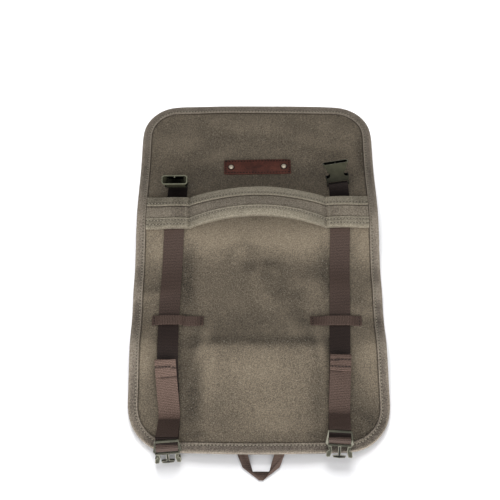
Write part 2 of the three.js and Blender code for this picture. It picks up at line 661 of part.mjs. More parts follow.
// Female half: a flat hollow body open at the mouth, with side windows for the arms and a bar for the strap.
// Its own frame has the strap bar at the origin and the mouth towards +y.
function socketSolid() {
  const floor = SOCKET.bar + SOCKET.slot;
  // Half outline of the body, from its floor over the lobes and the neck to the mouth, drawn in by inset
  const sides = (inset, from, to) => {
    const mouth = SOCKET.mouth / 2 - inset;
    const waist = SOCKET.waist / 2 - inset;
    const foot = waist - SOCKET_LOBE.in;
    const knee = waist + SOCKET_LOBE.out;
    const pull = SOCKET_NECK.pull - inset;
    const lobe = floor + SOCKET_LOBE.end;
    const shape = new THREE.Shape();
    shape.moveTo(-foot, from);
    shape.lineTo(foot, from);
    shape.quadraticCurveTo(knee, from + SOCKET_LOBE.round, waist, lobe);
    shape.quadraticCurveTo(pull, SOCKET_NECK.at, mouth, SOCKET.length);
    shape.lineTo(mouth, to);
    shape.lineTo(-mouth, to);
    shape.lineTo(-mouth, SOCKET.length);
    shape.quadraticCurveTo(-pull, SOCKET_NECK.at, -waist, lobe);
    shape.quadraticCurveTo(-knee, from + SOCKET_LOBE.round, -foot, from);
    return shape;
  };
  // Bar along y with a round-cornered section, longer than the body at both ends
  const rounded = (inset) => {
    const width = SOCKET.mouth / 2 + SEAT / 8 - inset;
    const depth = SOCKET.depth / 2 - inset;
    const radius = SOCKET_CORNER - inset;
    const shape = new THREE.Shape();
    shape.moveTo(radius - width, -depth);
    shape.absarc(width - radius, radius - depth, radius, -Math.PI / 2, 0, false);
    shape.absarc(width - radius, depth - radius, radius, 0, Math.PI / 2, false);
    shape.absarc(radius - width, depth - radius, radius, Math.PI / 2, Math.PI, false);
    shape.absarc(radius - width, radius - depth, radius, Math.PI, (3 * Math.PI) / 2, false);
    const settings = { depth: 2 * SOCKET.length, bevelEnabled: false, curveSegments: 3 };
    return solid(new THREE.ExtrudeGeometry(shape, settings).rotateX(-Math.PI / 2));
  };
  const outer = plate(sides(0, floor, SOCKET.length + SEAT), SOCKET.depth + 1, 4).intersect(rounded(0));
  const inner = sides(SOCKET.wall, floor + SOCKET.web, SOCKET.length + SOCKET.depth);
  const cavity = plate(inner, SOCKET.depth, 4).intersect(rounded(SOCKET.wall));
  const windowCut = (side) => {
    const { out, reach, half, at } = SOCKET_WINDOW;
    const geometry = new THREE.CylinderGeometry(half, half, SOCKET.depth + 2, 12).scale(reach / half, 1, 1);
    return solid(geometry.rotateX(Math.PI / 2).translate(side * out, floor + at, 0));
  };
  const ribBack = SOCKET.depth / 2 - SOCKET.wall / 2;
  const ribHeight = SOCKET_RIB.height + SOCKET.wall / 2;
  const ribAt = SOCKET.length - SOCKET_RIB.length / 2 - SEAT;
  const rib = block(SOCKET_RIB.width, SOCKET_RIB.length, ribHeight, 0, ribAt, ribHeight / 2 - ribBack);

  const yokeFrom = SEAT - SOCKET.bar;
  const yokeTo = floor + SOCKET.wall / 2;
  const yoke = block(SOCKET.waist, yokeTo - yokeFrom, 2 * SOCKET.bar, 0, (yokeFrom + yokeTo) / 2, 0);
  const slotWidth = SOCKET.waist - 2 * SOCKET.wall;
  const yokeSlot = block(slotWidth, 2 * floor, SOCKET.depth, 0, 0, 0);
  return outer
    .subtract(cavity)
    .subtract(windowCut(1))
    .subtract(windowCut(-1))
    .add(rib)
    .add(yoke.subtract(yokeSlot))
    .add(rod(SOCKET.bar, slotWidth + SOCKET.wall, 0));
}

// Leather strip that follows the canvas
function labelSolid() {
  const turn = degrees(LABEL.turn);
  const place = (along, across) => {
    const x = LABEL.x + along * Math.cos(turn) - across * Math.sin(turn);
    const y = LABEL.y + along * Math.sin(turn) + across * Math.cos(turn);
    return new THREE.Vector3(x, y, canvasTop(x, y) + SEAT);
  };
  const rings = Array.from({ length: STEPS.label + 1 }, (_, k) => {
    const along = LABEL.length * (k / STEPS.label - 0.5);
    const atEnd = k === 0 || k === STEPS.label;
    const reach = LABEL.width / 2 - (atEnd ? LABEL.corner : 0);
    const under = [-reach, 0, reach].map((across) => place(along, across));
    const upper = under.map((p) => p.clone().setZ(p.z + LABEL.thickness)).reverse();
    return [...under, ...upper];
  });
  return skin(rings);
}

function rivet(side) {
  const profile = [new THREE.Vector2(0, 0), new THREE.Vector2(RIVET.radius, 0)];
  for (const angle of [0, 22, 45, 68, 90]) {
    const a = degrees(angle);
    profile.push(new THREE.Vector2(RIVET.radius * Math.cos(a), RIVET.rim + RIVET.dome * Math.sin(a)));
  }
  profile[profile.length - 1].x = 0;
  const name = side < 0 ? "label_rivet_left" : "label_rivet_right";
  const mesh = piece(name, new THREE.LatheGeometry(profile, 14).rotateX(Math.PI / 2), "brass");
  const turn = degrees(LABEL.turn);
  const x = LABEL.x + side * RIVET.spread * Math.cos(turn);
  const y = LABEL.y + side * RIVET.spread * Math.sin(turn);
  mesh.position.set(x, y, canvasTop(x, y) + LABEL.thickness + RIVET.seat);
  return mesh;
}

// Hanging loop: a tape whose legs are sewn under the hanging end and whose middle is folded to a point
function hangLoop() {
  const edge = -PANEL.hangingEnd - PANEL_LIE.hangingBow;
  const eyeEnd = edge - LOOP.drop;
  const point = eyeEnd - LOOP.point;
  const outer = LOOP.legs / 2 + LOOP.tape / 2;
  const inner = LOOP.legs / 2 - LOOP.tape / 2;
  const shoulder = (outer + LOOP.eye / 2 + LOOP.tape / 2) / 2;
  const outline = [
    [-outer, edge + LOOP.tuck],
    [-outer, edge],
    [-shoulder, eyeEnd + LOOP.drop / 4],
    [-LOOP_TIP, point],
    [LOOP_TIP, point],
    [shoulder, eyeEnd + LOOP.drop / 4],
    [outer, edge],
    [outer, edge + LOOP.tuck],
    [inner, edge + LOOP.tuck],
    [inner, edge],
    [LOOP.eye / 2, eyeEnd],
    [-LOOP.eye / 2, eyeEnd],
    [-inner, edge],
    [-inner, edge + LOOP.tuck],
  ].map(([x, y]) => new THREE.Vector2(x + LOOP.x, y));
  const underEdge = (x) => canvasUnder(x, edge + 1) - BINDING.wall - 2 * SEAT - LOOP.thickness;
  const points = [];
  for (const up of [0, LOOP.thickness]) {
    for (const p of outline) {
      const seat = Math.min(underEdge(p.x), underEdge(LOOP.x - outer), underEdge(LOOP.x + outer));
      const down = smooth((edge - 1 - p.y) / LOOP.drop);
      points.push(new THREE.Vector3(p.x, p.y, mix(seat, SEAT, down) + up));
    }
  }
  const count = outline.length;
  const triangles = [];
  for (const [a, b, c] of THREE.ShapeUtils.triangulateShape(outline, [])) {
    triangles.push([a, c, b], [count + a, count + b, count + c]);
  }
  for (let k = 0; k < count; k++) {
    const l = (k + 1) % count;
    triangles.push([k, l, count + l], [k, count + l, count + k]);
  }
  return closedMesh(points, triangles);
}

function placed(mesh, frame) {
  const holder = new THREE.Group();
  holder.position.setFromMatrixPosition(frame);
  holder.quaternion.setFromRotationMatrix(frame);
  holder.add(mesh);
  return holder;
}

// Assembly
const toolRoll = new THREE.Group();
toolRoll.add(
  piece("canvas_panel", canvasPanel(), "canvas"),
  piece("edge_binding", edgeBinding(), "tape"),
  piece("handle_band", bandCore(), "canvas"),
  piece("handle_binding_upper", bandBinding(1), "tape"),
  piece("handle_binding_lower", bandBinding(-1), "tape"),
);
for (const strap of STRAPS) {
  const clip = piece(`buckle_clip_${strap.side}`, geometryOf(clipSolid()), "plastic");
  const socket = piece(`buckle_socket_${strap.side}`, geometryOf(socketSolid()), "plastic");
  toolRoll.add(
    piece(`strap_${strap.side}`, strapSolid(strap), "webbing"),
    piece(`strap_keeper_${strap.side}`, keeperSolid(strap), "webbing"),
    placed(clip, clipFrame(strap)),
    placed(socket, socketFrame(strap.socket)),
  );
}
toolRoll.add(
  piece("leather_label", labelSolid(), "leather"),
  rivet(-1),
  rivet(1),
  piece("hang_loop", hangLoop(), "webbing"),
);

// The origin is at the middle of the part's footprint, on the surface that it lies on
const box = new THREE.Box3().setFromObject(toolRoll, true);
const middle = box.getCenter(new THREE.Vector3());
toolRoll.children.forEach((child) => child.position.sub(new THREE.Vector3(middle.x, middle.y, box.min.z)));

export default toolRoll;
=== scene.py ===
# %% [markdown]
# # A waxed canvas tool roll, laid open
# The real roll is a bound canvas panel with a grab handle, two webbing straps, buckles, a leather label
# and a hanging loop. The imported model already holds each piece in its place. This lesson dresses it:
# cloth is made smooth and given its wrinkles, seams get their thread, and every finish is built from
# shader nodes.

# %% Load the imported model
import bmesh
import bpy
import math
from mathutils import Matrix, Vector, noise
from mathutils.bvhtree import BVHTree


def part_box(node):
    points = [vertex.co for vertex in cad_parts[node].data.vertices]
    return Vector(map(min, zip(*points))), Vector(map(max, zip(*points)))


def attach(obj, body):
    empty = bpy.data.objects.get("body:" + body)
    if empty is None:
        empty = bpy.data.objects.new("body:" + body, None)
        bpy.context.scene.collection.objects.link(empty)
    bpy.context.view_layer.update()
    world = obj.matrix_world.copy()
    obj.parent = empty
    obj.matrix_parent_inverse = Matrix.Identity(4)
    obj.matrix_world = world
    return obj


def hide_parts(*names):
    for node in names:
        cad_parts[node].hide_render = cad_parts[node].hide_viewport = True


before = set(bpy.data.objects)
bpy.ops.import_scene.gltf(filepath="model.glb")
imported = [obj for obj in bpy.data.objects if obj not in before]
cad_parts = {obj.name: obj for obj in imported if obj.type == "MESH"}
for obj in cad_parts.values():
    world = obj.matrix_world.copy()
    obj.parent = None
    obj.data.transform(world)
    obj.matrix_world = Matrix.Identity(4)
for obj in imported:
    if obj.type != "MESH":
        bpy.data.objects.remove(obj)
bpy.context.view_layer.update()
MM = 0.001

# %% [markdown]
# ## Camera, floor and light
# The photograph was taken from about 61 degrees above the table with a normal-to-long lens. A camera can
# be fitted by eye or worked out: here its height, distance and lens come from how the panel narrows
# towards its far end. The light is a soft box at the front, a second one overhead and a pale room around
# them. A third box from behind lights the table alone, which stays white and carries the soft shadow of
# the hanging end.

# %% Camera
CAMERA_PLACE = (-10.0 * MM, -600.5 * MM, 1153 * MM)
CAMERA_ELEVATION = 61
FOCAL_PIXELS = 1032
PICTURE_PIXELS = 500
SENSOR_MM = 36


def deselect():
    if bpy.context.object and bpy.context.object.mode != "OBJECT":
        bpy.ops.object.mode_set(mode="OBJECT")
    bpy.ops.object.select_all(action="DESELECT")


deselect()
bpy.ops.object.camera_add(location=CAMERA_PLACE, rotation=(math.radians(90 - CAMERA_ELEVATION), 0, 0))
camera = bpy.context.object
camera.data.sensor_width = SENSOR_MM
camera.data.lens = SENSOR_MM * FOCAL_PIXELS / PICTURE_PIXELS
scene = bpy.context.scene
scene.camera = camera
print("lens", round(camera.data.lens, 1), "mm")

# %% Floor and lights
LIGHTS = [
    {"name": "front_box", "place": (-0.05, -1.2, 0.72), "aim": (0, 0, 0), "size": (1.8, 1.2), "watts": 19},
    {"name": "top_box", "place": (0.0, 0.1, 1.7), "aim": (0, 0, 0), "size": (1.6, 1.2), "watts": 4},
    {"name": "floor_box", "place": (-0.12, 1.5, 1.2), "aim": (0, -0.25, 0), "size": (1.2, 2.2), "watts": 84},
]
FLOOR_ONLY = ["floor_box"]
ROOM_LIGHT = 0.16
FLOOR_SIZE = 12


def aim_light(name, place, aim, size, watts):
    turn = (Vector(aim) - Vector(place)).to_track_quat("-Z", "Y").to_euler()
    bpy.ops.object.light_add(type="AREA", location=place, rotation=turn)
    lamp = bpy.context.object
    lamp.name = name
    lamp.data.shape = "RECTANGLE"
    lamp.data.size, lamp.data.size_y = size
    lamp.data.energy = watts
    return lamp


lamps = {row["name"]: aim_light(**row) for row in LIGHTS}
world = bpy.data.worlds.new("pale_room")
world.use_nodes = True
room = world.node_tree.nodes["Background"].inputs
room["Color"].default_value = (1, 1, 1, 1)
room["Strength"].default_value = ROOM_LIGHT
scene.world = world
scene.view_settings.view_transform = "Standard"

deselect()
bpy.ops.mesh.primitive_plane_add(size=FLOOR_SIZE, location=(0, 0, 0))
floor = bpy.context.object
floor.name = "floor"
floor_group = bpy.data.collections.new("floor_group")
floor_group.objects.link(floor)
for name in FLOOR_ONLY:
    lamps[name].light_linking.receiver_collection = floor_group
print("lights", list(lamps))

# %% [markdown]
# ## Shader nodes as sums
# A finish is easier to read as an expression than as a page of node calls. A small class wraps a socket,
# so that plus, minus and times add Math nodes, and one method makes any other node from its type,
# settings and inputs.

# %% Signal


class Signal:
    """An output socket of a finish; arithmetic on it adds Math nodes."""

    def __init__(self, finish, socket):
        self.finish = finish
        self.socket = socket

    def math(self, operation, first, second=0.0):
        return self.finish.node("ShaderNodeMath", {"operation": operation}, {0: first, 1: second})

    def __add__(self, other):
        return self.math("ADD", self, other)

    __radd__ = __add__

    def __sub__(self, other):
        return self.math("SUBTRACT", self, other)

    def __rsub__(self, other):
        return self.math("SUBTRACT", other, self)

    def __mul__(self, other):
        return self.math("MULTIPLY", self, other)

    __rmul__ = __mul__

    def __pow__(self, other):
        return self.math("POWER", self, other)

    def __abs__(self):
        return self.math("ABSOLUTE", self)

    def larger(self, other):
        return self.math("MAXIMUM", self, other)

    def smaller(self, other):
        return self.math("MINIMUM", self, other)

    def below(self, other):
        return self.math("LESS_THAN", self, other)


print("ready to sum")

# %% Finish
# Sockets of the Mix node that carry colours
COLOR_A, COLOR_B, COLOR_OUT = 6, 7, 2


class Finish:
    """A material whose nodes are made one call at a time."""

    def __init__(self, name):
        self.material = bpy.data.materials.new(name)
        self.material.use_nodes = True
        self.tree = self.material.node_tree
        self.tree.nodes.clear()

    def node(self, kind, settings=None, sockets=None, out=0):
        made = self.tree.nodes.new(kind)
        for key, value in (settings or {}).items():
            setattr(made, key, value)
        for key, value in (sockets or {}).items():
            if isinstance(value, Signal):
                self.tree.links.new(value.socket, made.inputs[key])
            else:
                made.inputs[key].default_value = value
        return Signal(self, made.outputs[out]) if made.outputs else None

    def place(self):
        return self.node("ShaderNodeTexCoord", out="Object")

    def surface_map(self):
        return self.node("ShaderNodeTexCoord", out="UV")

    def attribute(self, name):
        return self.node("ShaderNodeAttribute", {"attribute_name": name}, out="Fac")

    def axis(self, vector, number):
        return self.node("ShaderNodeSeparateXYZ", None, {0: vector}, out=number)

    def stretched(self, vector, scale):
        return self.node("ShaderNodeMapping", None, {"Vector": vector, "Scale": scale})

    def grain(self, vector, scale, detail=2.0, rough=0.5):
        sockets = {"Vector": vector, "Scale": scale, "Detail": detail, "Roughness": rough}
        return self.node("ShaderNodeTexNoise", None, sockets)

    def band(self, value, low, high, to_low=0.0, to_high=1.0, curve="LINEAR"):
        sockets = {0: value, 1: low, 2: high, 3: to_low, 4: to_high}
        return self.node("ShaderNodeMapRange", {"clamp": True, "interpolation_type": curve}, sockets)

    def line(self, value, middle, half, soft):
        """One on the line where value is middle, nought beside it; half and soft are widths in mm."""
        return self.band(abs(value - middle * MM), half * MM, (half + soft) * MM, 1.0, 0.0)

    def wave(self, vector, number, pitch):
        turned = self.axis(vector, number) * (2 * math.pi / pitch)
        return self.node("ShaderNodeMath", {"operation": "SINE"}, {0: turned})

    def mix(self, factor, first, second):
        sockets = {0: factor, COLOR_A: first, COLOR_B: second}
        return self.node("ShaderNodeMix", {"data_type": "RGBA"}, sockets, out=COLOR_OUT)

    def done(self, color, roughness, height=None, bump_mm=0.1, **constants):
        sockets = {"Base Color": color, "Roughness": roughness}
        if height is not None:
            bump = {"Height": height, "Distance": bump_mm * MM, "Strength": 1.0}
            sockets["Normal"] = self.node("ShaderNodeBump", None, bump)
        sockets.update({key.replace("_", " "): value for key, value in constants.items()})
        shader = self.node("ShaderNodeBsdfPrincipled", None, sockets)
        self.node("ShaderNodeOutputMaterial", None, {"Surface": shader})
        return self.material


def tone(red, green, blue):
    """A colour given as it looks on a screen, 0 to 255, turned to the linear values that shaders use."""
    linear = [((c / 255 + 0.055) / 1.055) ** 2.4 for c in (red, green, blue)]
    return (*linear, 1.0)


print("ready to make finishes")

# %% Floor finish
FLOOR_TONE = tone(226, 226, 228)
FLOOR_GRAIN = 3.0
FLOOR_ROUGH = {"to_low": 0.7, "to_high": 0.8}
pale = Finish("pale_floor")
floor_rough = pale.band(pale.grain(pale.place(), FLOOR_GRAIN), 0, 1, **FLOOR_ROUGH)
floor.data.materials.append(pale.done(FLOOR_TONE, floor_rough))
print("floor finished")

# %% [markdown]
# ## Waxed canvas
# Waxed canvas is a plain weave of uneven yarns. Up close it is a fine heather of tan and olive threads,
# with wax that has rubbed pale on the raised folds. An image could give this, but noise that is
# stretched along the two thread directions scales to any size. How pale each place is comes from an
# attribute that the cloth itself carries: crests rubbed pale, hollows painted dark as shade, and spots
# of painted light and painted shade for the light on folds, handle and straps. Beside every sewn edge
# the finish also draws lines: dark seams, partly wax and dirt and partly painted shade, and pale lips,
# which are painted highlights. Round the panel they are found as the distance from a rounded
# rectangle, which only takes sums.

# %% Where the seams run
PANEL = {"half_width": 152.5, "label_end": 242.5, "hanging_end": 244.7, "drift": 1.2}
PANEL_CORNER = {"label": 47, "hanging": 55}
PANEL_BOW = {"label": 1.8, "hanging": 2.6}
DRIFT_FROM = 0.3
BINDING_WIDTH = 10
BINDING_ROW = 7.4
BAND_HALF = 21
BAND_TILT = 0.008
HANDLE_HALF = 90
UPPER_SEAM, UPPER_ROW = 8.5, 12.4
LOWER_SEAM, LOWER_ROW, FOLD_ROW = -9.5, -12.9, -18.2

panel_low, panel_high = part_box("canvas_panel")
PANEL_X = panel_low[0] / MM + PANEL["half_width"]
PANEL_Y = panel_high[1] / MM - PANEL["label_end"] - PANEL_BOW["label"]
band_low, band_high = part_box("handle_band")
BAND_Y = (band_low[1] + band_high[1]) / 2 / MM


def inset_from_edge(cloth, where):
    """How far inside the panel's outline a place lies, in metres: corners round, short edges bowed."""
    y = cloth.axis(where, 1) - PANEL_Y * MM
    hanging = y.below(0.0)
    radius, bow, reach = (
        hanging * ((at_hanging - at_label) * MM) + at_label * MM
        for at_label, at_hanging in (
            (PANEL_CORNER["label"], PANEL_CORNER["hanging"]),
            (PANEL_BOW["label"], PANEL_BOW["hanging"]),
            (PANEL["label_end"], PANEL["hanging_end"]),
        )
    )
    end = PANEL["hanging_end"] * MM
    drift = cloth.band(y, -DRIFT_FROM * end, -end, 0, PANEL["drift"] * MM, "SMOOTHSTEP")
    x = abs(cloth.axis(where, 0) - PANEL_X * MM - drift)
    share = x * (1 / (PANEL["half_width"] * MM))
    past_x = x - PANEL["half_width"] * MM + radius
    past_y = abs(y) - (1 - share * share) * bow - reach + radius
    corner = (past_x.larger(0.0) ** 2 + past_y.larger(0.0) ** 2) ** 0.5
    return radius - corner - past_x.larger(past_y).smaller(0.0)


def across_band(cloth, where):
    return cloth.axis(where, 1) - (cloth.axis(where, 0) - PANEL_X * MM) * BAND_TILT - BAND_Y * MM


print("panel middle", round(PANEL_X, 2), round(PANEL_Y, 2), "band middle", round(BAND_Y, 2))

# %% Lines that the finishes draw
# Middle, half width and soft border in mm, from the panel's edge or from the band's middle line
LINES = {
    "panel_seam": {"middle": BINDING_WIDTH + 0.4, "half": 0.4, "soft": 1.2},
    "binding_row": {"middle": BINDING_ROW, "half": 0.5, "soft": 0.5},
    "binding_lip": {"middle": BINDING_WIDTH - 0.8, "half": 0.5, "soft": 0.6},
    "binding_fold": {"middle": -1.5, "half": 1.5, "soft": 3.0},
    "upper_seam": {"middle": UPPER_SEAM - 0.5, "half": 0.6, "soft": 0.8},
    "lower_seam": {"middle": LOWER_SEAM + 0.5, "half": 0.5, "soft": 0.7},
    "upper_row": {"middle": UPPER_ROW, "half": 0.9, "soft": 0.6},
    "lower_row": {"middle": LOWER_ROW, "half": 0.9, "soft": 0.6},
    "fold_row": {"middle": FOLD_ROW, "half": 0.7, "soft": 0.5},
    "lower_shade": {"middle": LOWER_ROW - 1.0, "half": 0.8, "soft": 2.6},
    "upper_lip": {"middle": UPPER_SEAM + 1.0, "half": 0.7, "soft": 0.6},
    "lower_lip": {"middle": LOWER_SEAM - 0.9, "half": 0.6, "soft": 0.6},
}
# Strengths: seams painted dark, partly wax and dirt and partly painted shade in the seam; stitch rows;
# painted highlights on the lips and outer folds of the tape; painted shade under the lower row
SEAM_DIRT_AND_SHADE = 0.55
ROW_DARK = 0.55
LIP_HIGHLIGHT = 0.4
LOWER_SHADE = 0.22


def drawn(cloth, value, *names):
    """The named lines, joined."""
    first, *others = (cloth.line(value, **LINES[name]) for name in names)
    for other in others:
        first = first.larger(other)
    return first


def panel_lines(cloth, where):
    return drawn(cloth, inset_from_edge(cloth, where), "panel_seam") * SEAM_DIRT_AND_SHADE


def no_highlights(cloth, where):
    return 0.0


def binding_lines(cloth, where):
    return drawn(cloth, inset_from_edge(cloth, where), "binding_row") * ROW_DARK


# Painted highlights on the binding's inner lip and outer fold
def binding_highlights(cloth, where):
    return drawn(cloth, inset_from_edge(cloth, where), "binding_lip", "binding_fold") * LIP_HIGHLIGHT


def band_lines(cloth, where):
    return drawn(cloth, across_band(cloth, where), "upper_seam", "lower_seam") * SEAM_DIRT_AND_SHADE


def hem_lines(cloth, where):
    across = across_band(cloth, where)
    aside = 1 - abs(cloth.axis(where, 0) - PANEL_X * MM).below(HANDLE_HALF * MM)
    rows = drawn(cloth, across, "upper_row", "lower_row").larger(drawn(cloth, across, "fold_row") * aside)
    return (rows * ROW_DARK).larger(drawn(cloth, across, "lower_shade") * LOWER_SHADE)


# Painted highlights on the lips of the handle's tapes
def hem_highlights(cloth, where):
    return drawn(cloth, across_band(cloth, where), "upper_lip", "lower_lip") * LIP_HIGHLIGHT


print("lines", len(LINES))

# %% Canvas finishes
THREAD_PITCH = 1.1 * MM
LINE_TONE = tone(42, 36, 29)
LINT_TONE = tone(204, 194, 174)
# Grains to a metre, of a yarn and of the other textures
YARN = {"across": 1300, "along": 320, "deep": 400}
GRAINS = {"fleck": 1000.0, "cloud": 16.0, "patch": 85.0, "lint": 640.0}
HEATHER = {"yarn": 0.25, "fleck": 0.5}
RUB = {"cloud": 0.35, "patch": 0.25, "heather": 0.6, "from": 0.5, "to": 1.5}
SPECK = {"low": 0.4, "high": 0.6}
LINT = {"low": 0.69, "high": 0.77, "to_low": 0.0, "to_high": 0.34}
CANVAS_RELIEF = {"threads": 0.4, "heather": 1.6, "bump_mm": 0.25}
CANVAS_ROUGH = {"to_low": 0.78, "to_high": 0.92}
CANVAS_SHEEN = {"Sheen_Weight": 0.1, "Sheen_Roughness": 0.5}
CLOTHS = {
    "waxed_canvas": {"waxy_and_shaded": ((61, 54, 45), (98, 88, 74)), "rubbed_and_lit": ((139, 126, 108), (179, 164, 141))},
    "band_canvas": {"waxy_and_shaded": ((84, 76, 66), (136, 125, 110)), "rubbed_and_lit": ((155, 143, 127), (206, 193, 172))},
    "binding_canvas": {"waxy_and_shaded": ((76, 68, 60), (118, 107, 96)), "rubbed_and_lit": ((148, 136, 122), (191, 178, 161))},
    "hem_canvas": {"waxy_and_shaded": ((88, 81, 68), (128, 119, 102)), "rubbed_and_lit": ((154, 144, 126), (199, 189, 167))},
}
SEWN = {
    "waxed_canvas": (panel_lines, no_highlights),
    "band_canvas": (band_lines, no_highlights),
    "binding_canvas": (binding_lines, binding_highlights),
    "hem_canvas": (hem_lines, hem_highlights),
}


def canvas_finish(name, waxy_and_shaded, rubbed_and_lit):
    cloth = Finish(name)
    lines, highlights = SEWN[name]
    where = cloth.place()
    across, along, deep = YARN["across"], YARN["along"], YARN["deep"]
    warp = cloth.grain(cloth.stretched(where, (across, along, deep)), 1.0, 1.0)
    weft = cloth.grain(cloth.stretched(where, (along, across, deep)), 1.0, 1.0)
    fleck = cloth.grain(where, GRAINS["fleck"], 0.0)
    heather = warp * HEATHER["yarn"] + weft * HEATHER["yarn"] + fleck * HEATHER["fleck"]
    clouds = cloth.grain(where, GRAINS["cloud"], 4.0, 0.6)
    patches = clouds * RUB["cloud"] + cloth.grain(where, GRAINS["patch"], 2.0) * RUB["patch"]
    # The attribute holds worn crests, hollows painted dark as shade and spots of painted light and shade;
    # the highlights are painted on the lips of the tape
    wear_and_light = cloth.attribute("wear_and_painted_light") + highlights(cloth, where) + patches + heather * RUB["heather"]
    rub_and_light = cloth.band(wear_and_light, RUB["from"], RUB["to"])
    speck = cloth.band(heather, **SPECK)
    lint = cloth.band(cloth.grain(where, GRAINS["lint"], 0.0), **LINT)
    shades = [cloth.mix(speck, tone(*dark), tone(*pale)) for dark, pale in (waxy_and_shaded, rubbed_and_lit)]
    linted = cloth.mix(lint, cloth.mix(rub_and_light, *shades), LINT_TONE)
    color = cloth.mix(lines(cloth, where), linted, LINE_TONE)
    weave = cloth.wave(where, 0, THREAD_PITCH) * cloth.wave(where, 1, THREAD_PITCH)
    height = weave * CANVAS_RELIEF["threads"] + heather * CANVAS_RELIEF["heather"]
    rough = cloth.band(rub_and_light, 0, 1, **CANVAS_ROUGH)
    return cloth.done(color, rough, height, CANVAS_RELIEF["bump_mm"], **CANVAS_SHEEN)


cloths = {name: canvas_finish(name, **tones) for name, tones in CLOTHS.items()}
print("finishes", list(cloths))

# %% [markdown]
# ## From CAD facets to cloth
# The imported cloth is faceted. A copy of a node, merged and turned back to quads, is a cage that the
# Subdivision Surface modifier rounds. A second pass moves the points by small wrinkles, the same ones for
# every piece that lies on the panel, so that tape, straps and thread keep to the canvas.

# %% Copying and shaping helpers
MERGE = 0.01 * MM


def take(piece):
    deselect()
    piece.select_set(True)
    bpy.context.view_layer.objects.active = piece


def cage_of(node, name):
    """Copy of a CAD node as merged quads."""
    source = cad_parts[node]
    piece = source.copy()
    piece.data = source.data.copy()
    piece.name = piece.data.name = name
    piece.parent = None
    for key in [key for key in piece.keys() if key.startswith("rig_")]:
        del piece[key]
    scene.collection.objects.link(piece)
    take(piece)
    piece.data.materials.clear()
    bpy.ops.object.mode_set(mode="EDIT")
    bpy.ops.mesh.select_all(action="SELECT")
    bpy.ops.mesh.remove_doubles(threshold=MERGE)
    bpy.ops.mesh.tris_convert_to_quads()
    bpy.ops.object.mode_set(mode="OBJECT")
    return piece


def apply_modifier(piece, kind, **settings):
    take(piece)
    modifier = piece.modifiers.new(kind.lower(), kind)
    for key, value in settings.items():
        setattr(modifier, key, value)
    bpy.ops.object.modifier_apply(modifier=modifier.name)


def rounded(piece, levels):
    apply_modifier(piece, "SUBSURF", levels=levels, render_levels=levels)


def softened_edges(piece, width_mm, angle=50):
    settings = {"limit_method": "ANGLE", "angle_limit": math.radians(angle)}
    apply_modifier(piece, "BEVEL", width=width_mm * MM, segments=2, **settings)


def finished(piece, node, material, smooth_angle=None):
    """The last step of every piece: smooth shading, its finish, its body and the node that it stands for."""
    take(piece)
    if smooth_angle is None:
        bpy.ops.object.shade_smooth()
    else:
        bpy.ops.object.shade_smooth_by_angle(angle=math.radians(smooth_angle))
    piece.data.materials.clear()
    piece.data.materials.append(material)
    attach(piece, "root")
    if node:
        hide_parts(node)
    print(piece.name, len(piece.data.polygons), "faces")
    return piece


print("copies merge within", MERGE, "m")

# %% Wrinkles of the laid cloth
# x, y: middle, in mm. turn: long axis from +x, degrees. half: half length. wide: half width. rise: height.
WRINKLES = [
    {"x": -17, "y": 36, "turn": 60, "half": 22, "wide": 9, "rise": 0.8},
    {"x": 12, "y": 9, "turn": -20, "half": 20, "wide": 8, "rise": 0.7},
    {"x": -70, "y": -104, "turn": 72, "half": 30, "wide": 8, "rise": 1.1},
    {"x": 78, "y": -106, "turn": -76, "half": 34, "wide": 8, "rise": 1.1},
    {"x": -128, "y": -30, "turn": 12, "half": 26, "wide": 9, "rise": 1.2},
    {"x": 132, "y": -52, "turn": -14, "half": 26, "wide": 9, "rise": 1.2},
    {"x": -60, "y": 178, "turn": 28, "half": 40, "wide": 12, "rise": 1.1},
    {"x": 74, "y": 206, "turn": -22, "half": 46, "wide": 12, "rise": 1.1},
]
RIPPLE = [{"size": 70, "rise": 1.1}, {"size": 24, "rise": 0.35}]
RIPPLE_SLICE = 0.3
BUCKLES = [f"buckle_{half}_{side}" for half in ("socket", "clip") for side in ("left", "right")]
BUCKLE_PLACES = [(Vector(low) + Vector(high)) / 2 for low, high in (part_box(node) for node in BUCKLES)]
CALM = {"from": 18 * MM, "to": 45 * MM}


def eased(share):
    """Smooth step from nought to one."""
    share = min(1.0, max(0.0, share))
    return share**2 * (3 - 2 * share)


def calm(x, y):
    """Nought at a buckle, where the webbing keeps its place, and one away from all of them."""
    away = min(math.hypot(x - place.x, y - place.y) for place in BUCKLE_PLACES)
    return eased((away - CALM["from"]) / (CALM["to"] - CALM["from"]))


def wrinkle_height(x, y):
    """Height in metres that the wrinkles add at a place in metres; never below nought."""
    total = 0.0
    for fold in WRINKLES:
        turn = math.radians(fold["turn"])
        dx, dy = x / MM - fold["x"], y / MM - fold["y"]
        along = (dx * math.cos(turn) + dy * math.sin(turn)) / fold["half"]
        across = (dy * math.cos(turn) - dx * math.sin(turn)) / fold["wide"]
        total += fold["rise"] * math.exp(-(along**2) - across**2)
    for wave in RIPPLE:
        spot = Vector((x / MM / wave["size"], y / MM / wave["size"], RIPPLE_SLICE))
        total += wave["rise"] * 0.5 * (1 + noise.noise(spot))
    return total * calm(x, y) * MM


def lay(piece):
    """Lifts a piece with the wrinkles under it."""
    for vertex in piece.data.vertices:
        vertex.co.z += wrinkle_height(vertex.co.x, vertex.co.y)
    piece.data.update()


print("wrinkles", len(WRINKLES))
